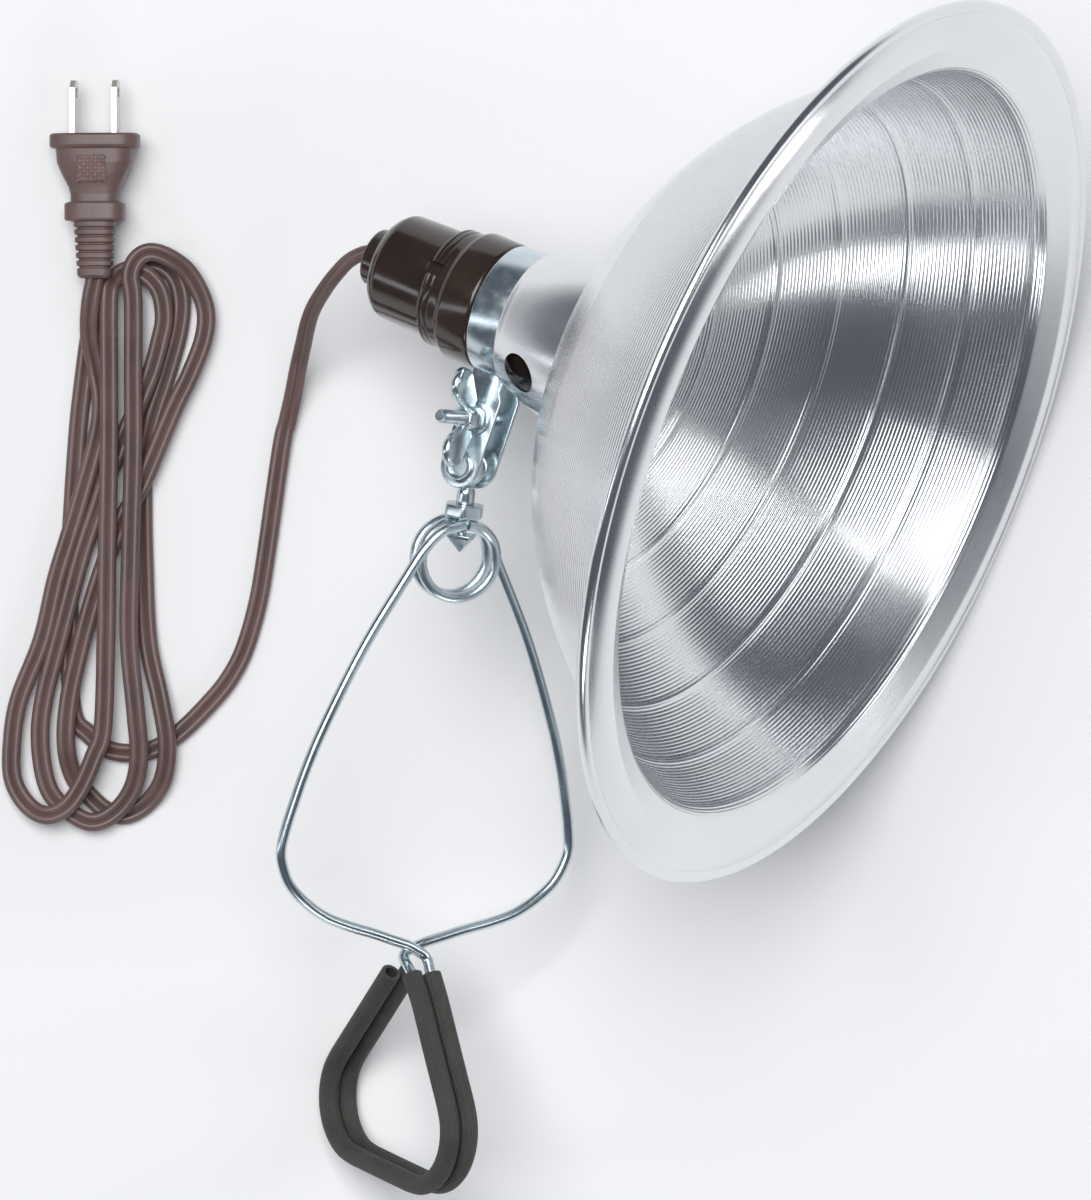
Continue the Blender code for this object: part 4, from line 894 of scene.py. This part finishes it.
def coil_drop(sizes):
    return sizes.collar_drop + sizes.collar_height + GAP + sizes.wire_radius + sizes.coil_radius


def make_swivel(sizes):
    """The ball, the stud with its six-sided collar, and the pointed square nut."""
    half = np.linspace(-math.pi / 2, math.pi / 2, 29)[1:-1]
    globe = sizes.ball_radius * np.stack((np.cos(half), np.sin(half)), -1)
    piece("smooth_ball", [turned(globe, 56, CLAMP)], "zinc plate", "ball",
          ("swivel_ball",))

    collar_end = sizes.collar_drop + sizes.collar_height
    nut_top = coil_drop(sizes) - sizes.coil_radius + sizes.wire_radius + 1.6 * MM
    stud_top = -sizes.ball_radius - GAP
    stud = rounded(((AXIS_HOLE, stud_top), (sizes.stud_radius - 0.5 * MM, stud_top),
                    (sizes.stud_radius, -sizes.ball_radius - 2.0 * MM),
                    (sizes.stud_radius, -sizes.collar_drop), (AXIS_HOLE, -sizes.collar_drop)), 0.4 * MM)
    collar = rounded(((AXIS_HOLE, -sizes.collar_drop), (sizes.collar_radius, -sizes.collar_drop),
                      (sizes.collar_radius, -collar_end), (AXIS_HOLE, -collar_end)), 0.7 * MM)
    neck = ((STUD_NECK_RADIUS, -collar_end + 1.0 * MM), (STUD_NECK_RADIUS, -nut_top - 2.4 * MM))
    piece("collared_stud", [turned(stud, 56, CLAMP), turned(collar, 72, CLAMP, False, polygon(6, 0.05)),
                            turned(neck, 40, CLAMP)],
          "zinc plate", "stud", ("swivel_stud",))
    point = -nut_top - sizes.tip_height
    nut = rounded(((0.3 * MM, point + 0.2 * MM), (sizes.tip_radius, -nut_top - 0.9 * MM),
                   (sizes.tip_radius, -nut_top), (1.7 * MM, -nut_top), (1.7 * MM, -nut_top - 1.0 * MM)),
                  0.5 * MM)
    piece("pointed_nut", [turned(nut, 72, CLAMP, False, polygon(4, 0.04))],
          "zinc plate", "stud", ("stud_tip_nut",))


def clamp_passes(sizes):
    """Where the wire passes the stud in front and behind, and its offset at the crossing."""
    pitch = 2 * sizes.wire_radius + GAP
    front = STUD_NECK_RADIUS + GAP + sizes.wire_radius
    return front, -front - pitch - 0.5 * MM, pitch / 2


def coil_line(sizes):
    """Two turns: x = R sin a, z = R cos a, with the depth falling faster in the second."""
    front, behind, _ = clamp_passes(sizes)
    share = np.linspace(0, 1, 161)
    start = GAP / 2 / sizes.coil_radius
    angle = start + share * (2 * TAU - 2 * start)
    depth = np.where(share < 0.5, front - 4 * front * share,
                     -front + (behind + front) * (2 * share - 1))
    return np.stack((sizes.coil_radius * np.sin(angle), depth,
                     -coil_drop(sizes) + sizes.coil_radius * np.cos(angle)), -1)


def jaw_line(sizes, side, low):
    """One jaw's loop: a triangle with two round corners, open beside its apex."""
    twist = math.radians(8.0)
    across = np.array((math.sin(twist), math.cos(twist), 0.0))
    normal = np.array((math.cos(twist), -math.sin(twist), 0.0))
    half_angle = math.radians(35.9)
    base, corner_radius = sizes.jaw_length, sizes.jaw_corner
    reach = base * math.tan(half_angle)
    middle = (reach - corner_radius / math.tan((math.pi / 2 - half_angle) / 2), base - corner_radius)
    corner = arc(middle, corner_radius, -half_angle, math.pi / 2, 7)
    slant = math.tan(half_angle)
    loop = np.vstack((
        ((low, 3.2 * MM), (6.2 * MM * slant + low * 0.2, 7.5 * MM), (0.2 * reach, 0.2 * base),
         (0.4 * reach, 0.4 * base)), corner, corner[::-1] * (-1, 1),
        ((-0.4 * reach, 0.4 * base), (-0.14 * reach, 0.14 * base))))
    apex = coil_drop(sizes) + sizes.handle_length - 0.5 * MM
    offset = normal * side * (sizes.sleeve_radius + GAP / 2)
    points = offset + loop[:, :1] * across
    points[:, 2] = -apex - loop[:, 1]
    return points, normal


def leg_line(sizes, side):
    """A leg's line from the coil's top by its handle and the crossing to its jaw's end.

    side is -1 for the left leg, which passes in front and ends in the right jaw. Returns the
    line, the place in it where the rubber starts and the jaw plane's normal.
    """
    front, behind, offset = clamp_passes(sizes)
    top, low = (front, offset) if side < 0 else (behind, -offset)
    drop = coil_drop(sizes)
    coil, wide, tall = sizes.coil_radius, sizes.handle_half_width, sizes.handle_length
    start = 3 * GAP / coil
    bow = np.array(((0.375, 0.045), (0.615, 0.235), (0.855, 0.483), (0.98, 0.682), (1.0, 0.745),
                    (0.915, 0.835), (0.66, 0.915), (0.33, 0.957), (0.08, 0.988)))
    outline = np.vstack(((coil * math.sin(start), drop - coil), (0.67 * coil, drop - 0.83 * coil),
                         (1.17 * coil, drop - 0.30 * coil), bow * (wide, tall) + (0.0, drop)))
    share = (outline[:, 1] - drop + coil) / (tall + coil)
    handle = catmull(np.stack((side * outline[:, 0], top + (low - top) * share, -outline[:, 1]), -1),
                     7 * MM)
    jaw, normal = jaw_line(sizes, -side, low)
    bend = catmull(np.stack((handle[-2], handle[-1], jaw[0], jaw[1])), 2.2 * MM)
    bend = bend[(bend[:, 2] < handle[-1, 2]) & (bend[:, 2] > jaw[0, 2])]
    line = np.vstack((handle, bend, catmull(jaw, 7 * MM)))
    return line, len(handle) + len(bend) + 1, normal


def make_clamp(sizes):
    """The coil and the two crossed legs of sprung wire, with a worked end on each."""
    wire = circle(sizes.wire_radius, 20)
    coil = evenly(catmull(coil_line(sizes), 1.0 * MM), 1.2 * MM)
    rings = swept(placed(coil, CLAMP), wire, CLAMP[1][1])
    piece("coiled_wire", [skin(rings)], "zinc wire", "spring", ("spring_coil",))
    rubber_bore = sizes.wire_radius + 0.25 * MM
    for side, leg, leg_node, sleeve, sleeve_node in (
            (-1, "left_wire", "left_leg", "right_jaw_rubber", "right_jaw_sleeve"),
            (1, "right_wire", "right_leg", "left_jaw_rubber", "left_jaw_sleeve")):
        body = "left_arm" if side < 0 else "right_arm"
        line, first, normal = leg_line(sizes, side)
        fine = evenly(catmull(line[:-1], 1.2 * MM), 1.4 * MM)
        # The wire's sides turn from the coil's axis to the jaw's own plane at the crossing
        turn = np.clip((line[0, 2] - fine[:, 2]) / (line[0, 2] - line[first, 2]) * 6 - 5, 0, 1)[:, None]
        reference = (1 - turn) * (0.0, 1.0, 0.0) + turn * normal
        rings = swept(placed(fine, CLAMP), wire, reference @ CLAMP[1])
        piece(leg, [skin(rings)], "zinc wire", body, (leg_node,))
        covered = placed(evenly(catmull(line[first:], 1.2 * MM), 1.5 * MM), CLAMP)
        angle = np.arange(60) / 60 * TAU
        ribbed = sizes.sleeve_radius - 0.10 * MM * (0.5 + 0.5 * np.cos(20 * angle))
        outer = round_about(ribbed, angle, 0.0)[:, :2]
        normal_out = normal @ CLAMP[1]
        rings = np.concatenate((swept(covered, outer, normal_out),
                                swept(covered, circle(rubber_bore, 60), normal_out)[::-1]))
        piece(sleeve, [skin(rings, True)], "ribbed rubber", body,
              (sleeve_node,))


# The cord and plug

PLUG_PLACE = (-174.6 * MM, 141.7 * MM, 8.9 * MM)
PLUG_ROLL = math.radians(-8.0)
FLANGE_LENGTH = 4.2 * MM
COLLAR_START = 20.2 * MM
COLLAR_LENGTH = 5.8 * MM
RELIEF_LENGTH = 17.0 * MM


def plug_axes():
    """Origin at the face's middle, X across the blades, Y out of the face and Z upwards."""
    cosine, sine = math.cos(PLUG_ROLL), math.sin(PLUG_ROLL)
    return np.array(PLUG_PLACE), np.array(((cosine, 0.0, -sine), (0.0, 1.0, 0.0), (sine, 0.0, cosine)))


def make_plug(sizes):
    """The moulded plug: a flange, pinched grip, collar and ribbed relief lofted in one.

    Each section is a superellipse whose width and depth are read off a table of the plug's
    length, with six cosine grooves in the relief, and a knurled pad stands on each face.
    """
    relief_start = COLLAR_START + COLLAR_LENGTH
    length_whole = relief_start + RELIEF_LENGTH
    half, deep = sizes.plug_width / 2, sizes.plug_depth / 2
    table = np.array((
        (0.0, 0.965, 0.93), (0.6 * MM, 1.0, 1.0), (3.5 * MM, 1.0, 1.0), (FLANGE_LENGTH, 0.975, 0.96),
        (4.6 * MM, 0.86, 0.88), (8.6 * MM, 0.84, 0.86), (12.0 * MM, 0.73, 0.80), (16.0 * MM, 0.575, 0.70),
        (18.0 * MM, 0.535, 0.665), (COLLAR_START, 0.53, 0.66), (20.7 * MM, 0.655, 0.74),
        (21.2 * MM, 0.67, 0.76), (25.2 * MM, 0.67, 0.76), (25.8 * MM, 0.655, 0.745),
        (26.3 * MM, 0.47, 0.60), (length_whole - 0.8 * MM, 0.385, 0.46), (length_whole, 0.33, 0.38)))
    way = np.unique(np.concatenate((table[:, 0], np.linspace(0, relief_start, 90),
                                    np.linspace(relief_start, length_whole, 170))))
    wide = np.interp(way, table[:, 0], table[:, 1]) * half
    thick = np.interp(way, table[:, 0], table[:, 2]) * deep
    ribs = np.clip((way - relief_start - 1.0 * MM) / (0.82 * RELIEF_LENGTH), 0, 1)
    groove = 1 - 0.15 * np.clip(3.0 * np.sin(math.pi * 6 * ribs) ** 2 - 1.9, 0, 1) * (ribs > 0) * (ribs < 1)
    x, z = super_ring(wide * groove, thick * groove, 3.6, 72)
    rings = np.stack((x, np.broadcast_to(-way[:, None], x.shape), z), -1)
    axes = plug_axes()
    body = piece("moulded_plug", [skin(placed(rings, axes), flat_ends=True)],
                 "brown vinyl", "head", ("plug_body",))
    corners = np.array(rectangle(-0.95 * MM, 0.95 * MM, -3.35 * MM, 3.35 * MM))
    slots = []
    for side in (1, -1):
        ends = np.stack(np.broadcast_arrays(
            side * BLADE_SPREAD + corners[:, 0], ((-8.2 * MM,), (1.0 * MM,)), corners[:, 1]), -1)
        slots.append(skin(placed(ends, axes), flat_ends=True))
    carve(body, slots)

    grid = np.linspace(-1, 1, 97)
    across, along = np.meshgrid(grid * 4.6 * MM, grid * 4.2 * MM - 10.4 * MM, indexing="ij")
    edge = np.clip((1 - np.abs(grid)) * 12, 0, 1)
    diagonal = grid[:, None] + grid[None]
    slope = grid[:, None] - grid[None]
    knurl = np.abs(np.sin(2.0 * math.pi * diagonal) * np.sin(2.0 * math.pi * slope)) ** 0.6
    raised = 0.80 * deep + np.outer(edge, edge) * (0.25 * MM + 0.55 * MM * knurl)
    pads = []
    for side in (1, -1):
        top = np.stack((across, along, side * raised), -1).reshape(-1, 3)
        under = np.stack((across, along, np.full_like(across, side * 0.6 * deep)), -1).reshape(-1, 3)
        pads.append(slab(placed(np.stack((under, top)), axes), len(grid)))
    # The pads take the lighter finish, whose colour paints their highlight as well as wear
    piece("plug_grip_pads", pads, "rubbed vinyl", "head")


CORD_EXIT = 162.8 * MM + GAP
STRAIGHT_LENGTH = 3 * MM
LOBE_ANGLE = math.radians(150)
EXIT_ROLL = math.radians(55)
ROCKING = math.radians(5)
LYING_SHARE = 0.08


def make_cord(sizes):
    """The flat two-wire cord: two round lobes with a groove between, carried along its route."""
    start = placed((0.0, 0.0, CORD_EXIT), HEAD)
    straight = start + STRAIGHT_LENGTH * HEAD[1][2]
    route = np.vstack((start, straight, np.array(LEAD_ROUTE + HANK_ROUTE) * MM))
    line = evenly(catmull(route, 0.7 * MM), 1.1 * MM)
    lobe = sizes.thickness / 2
    reach = sizes.width / 2 - lobe
    right = arc((reach, 0.0), lobe, -LOBE_ANGLE, LOBE_ANGLE, 18)
    section = np.vstack((right, ((0.0, 0.42 * lobe),), -right, ((0.0, -0.42 * lobe),)))
    travel = np.linspace(0, 1, len(line))
    # It leaves the boss on edge, lies down along the lead and then rocks a little
    lie = np.clip(travel / LYING_SHARE, 0, 1)
    roll = (1 - lie) * EXIT_ROLL + lie * ROCKING * np.sin(TAU * 9.3 * travel)
    rings = swept(line, section, (0.0, 0.0, 1.0), roll)
    cord = piece("flat_cord", [skin(rings)], "brown vinyl", "head",
                 ("cord_lead", "cord_hank"))


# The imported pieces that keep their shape

CARRIED_OVER = {
    "insulating_disc": "vulcanised fibre", "centre_contact": "brass", "live_terminal_screw": "brass",
    "neutral_terminal_screw": "nickel", "live_conductor": "brown vinyl",
    "neutral_conductor": "brown vinyl", "cord_knot": "brown vinyl", "cord_in_boss": "brown vinyl",
    "plug_blade_left": "nickel", "plug_blade_right": "nickel",
}


def dress_carried_over():
    """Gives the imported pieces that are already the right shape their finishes."""
    for node, name in CARRIED_OVER.items():
        materials = frame["nodes"][node].data.materials
        materials.clear()
        materials.append(made_finish(name))


# Floor, light and camera

CAMERA_PLACE = (-0.04034, 0.00278, 2.5)
FOCAL_LENGTH = 250.8
FLOOR_REACH = 6.0
SKY = (0.76, 0.83, 1.0, 1.0)
SKY_STRENGTH = 0.13

# Name, place, what it points at, size, watts and colour
LIGHTS = (
    ("overhead_box", (-0.6, 0.8, 3.2), (0.0, 0.0, 0.0), (2.2, 2.4), 98.0, (1.0, 1.0, 1.0)),
    ("right_box", (2.4, 0.2, 1.2), (0.05, 0.05, 0.1), (0.4, 2.2), 12.0, (1.0, 1.0, 1.0)),
    ("front_box", (0.6, -2.2, 0.9), (0.0, 0.0, 0.1), (1.2, 0.4), 8.0, (1.0, 1.0, 1.0)),
    ("left_strip", (-2.2, -0.4, 1.3), (0.0, 0.0, 0.1), (0.3, 2.0), 5.0, (0.90, 0.95, 1.0)),
)


def area_light(name, place, towards, size, power, colour):
    light = bpy.data.lights.new(name, "AREA")
    light.shape = "RECTANGLE"
    light.size, light.size_y = size
    light.energy = power
    light.color = colour
    made = add_object(name, light)
    made.location = place
    aim = Vector(towards) - Vector(place)
    made.rotation_euler = aim.to_track_quat("-Z", "Y").to_euler()


def make_stage(colours):
    """A pale floor, soft boxes and a camera that looks straight down from above."""
    mesh = bpy.data.meshes.new("floor")
    corners = rectangle(-FLOOR_REACH, FLOOR_REACH, -FLOOR_REACH, FLOOR_REACH)
    mesh.from_pydata([(*corner, 0.0) for corner in corners], [], [(0, 1, 2, 3)])
    paper = bpy.data.materials.new("pale paper")
    paper.use_nodes = True
    shader = paper.node_tree.nodes["Principled BSDF"]
    shader.inputs["Base Color"].default_value = (*colours.floor, 1.0)
    shader.inputs["Roughness"].default_value = 0.9
    mesh.materials.append(paper)
    add_object("floor", mesh)

    for light in LIGHTS:
        area_light(*light)
    world = bpy.data.worlds.new("studio")
    world.use_nodes = True
    backdrop = world.node_tree.nodes["Background"].inputs
    backdrop["Color"].default_value = SKY
    backdrop["Strength"].default_value = SKY_STRENGTH
    bpy.context.scene.world = world
    bpy.context.scene.view_settings.view_transform = "Standard"

    lens = bpy.data.cameras.new("camera")
    lens.lens = FOCAL_LENGTH
    camera = add_object("camera", lens)
    camera.location = CAMERA_PLACE
    bpy.context.scene.camera = camera


# Operators and panel

class HEATLAMP_OT_stage(bpy.types.Operator):
    """Lay the pale floor and set the soft boxes and the camera"""
    bl_idname = "heat_lamp.stage"
    bl_label = "Stage"

    def execute(self, context):
        make_stage(context.scene.heat_lamp.colours)
        return {"FINISHED"}


class HEATLAMP_OT_plug(bpy.types.Operator):
    """Mould the plug about its two blades"""
    bl_idname = "heat_lamp.plug"
    bl_label = "Plug"

    def execute(self, context):
        make_plug(context.scene.heat_lamp.cord)
        return {"FINISHED"}


class HEATLAMP_OT_cord(bpy.types.Operator):
    """Lay the flat cord from the socket through its hank to the plug"""
    bl_idname = "heat_lamp.cord"
    bl_label = "Cord"

    def execute(self, context):
        make_cord(context.scene.heat_lamp.cord)
        return {"FINISHED"}


class HEATLAMP_OT_reflector(bpy.types.Operator):
    """Spin the reflector with its rim, rings and vents"""
    bl_idname = "heat_lamp.reflector"
    bl_label = "Reflector"

    def execute(self, context):
        make_reflector(context.scene.heat_lamp.reflector)
        return {"FINISHED"}


class HEATLAMP_OT_socket(bpy.types.Operator):
    """Mould the socket's shell and sleeve and thread its metal shell"""
    bl_idname = "heat_lamp.socket"
    bl_label = "Socket"

    def execute(self, context):
        make_socket(context.scene.heat_lamp.socket)
        return {"FINISHED"}


class HEATLAMP_OT_band(bpy.types.Operator):
    """Bend the band with its ears and fit the bolt, washer and wing nut"""
    bl_idname = "heat_lamp.band"
    bl_label = "Band, Bolt and Wing Nut"

    def execute(self, context):
        make_band(context.scene.heat_lamp.band)
        make_wing_nut(context.scene.heat_lamp.band)
        return {"FINISHED"}


class HEATLAMP_OT_swivel(bpy.types.Operator):
    """Turn the ball, the collared stud and the pointed nut"""
    bl_idname = "heat_lamp.swivel"
    bl_label = "Swivel"

    def execute(self, context):
        make_swivel(context.scene.heat_lamp.clamp)
        return {"FINISHED"}


class HEATLAMP_OT_clamp(bpy.types.Operator):
    """Bend the sprung wire into coil and legs and slip the rubber on the jaws"""
    bl_idname = "heat_lamp.clamp"
    bl_label = "Spring Clamp"

    def execute(self, context):
        make_clamp(context.scene.heat_lamp.clamp)
        return {"FINISHED"}


class HEATLAMP_OT_dress(bpy.types.Operator):
    """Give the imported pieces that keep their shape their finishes"""
    bl_idname = "heat_lamp.dress"
    bl_label = "Small Parts"

    def execute(self, context):
        dress_carried_over()
        return {"FINISHED"}


class HEATLAMP_PT_panel(bpy.types.Panel):
    """Lists the lamp's pieces in the sidebar, in the order they are made"""
    bl_idname = "HEATLAMP_PT_panel"
    bl_label = "Heat Lamp"
    bl_space_type = "VIEW_3D"
    bl_region_type = "UI"
    bl_category = "Heat Lamp"

    def draw(self, context):
        for step in STEPS:
            self.layout.operator(step.bl_idname)


SETTINGS = (ReflectorSizes, SocketSizes, BandSizes, ClampSizes, CordSizes, Colours, HeatLamp)
STEPS = (HEATLAMP_OT_stage, HEATLAMP_OT_plug, HEATLAMP_OT_cord, HEATLAMP_OT_reflector,
         HEATLAMP_OT_socket, HEATLAMP_OT_band, HEATLAMP_OT_swivel, HEATLAMP_OT_clamp,
         HEATLAMP_OT_dress)


def register():
    for kind in (*SETTINGS, *STEPS, HEATLAMP_PT_panel):
        bpy.utils.register_class(kind)
    bpy.types.Scene.heat_lamp = PointerProperty(type=HeatLamp)


def unregister():
    del bpy.types.Scene.heat_lamp
    for kind in reversed((*SETTINGS, *STEPS, HEATLAMP_PT_panel)):
        bpy.utils.unregister_class(kind)


def main():
    register()
    for step in STEPS:
        getattr(bpy.ops.heat_lamp, step.bl_idname.split(".")[1])()


if __name__ == "__main__":
    main()
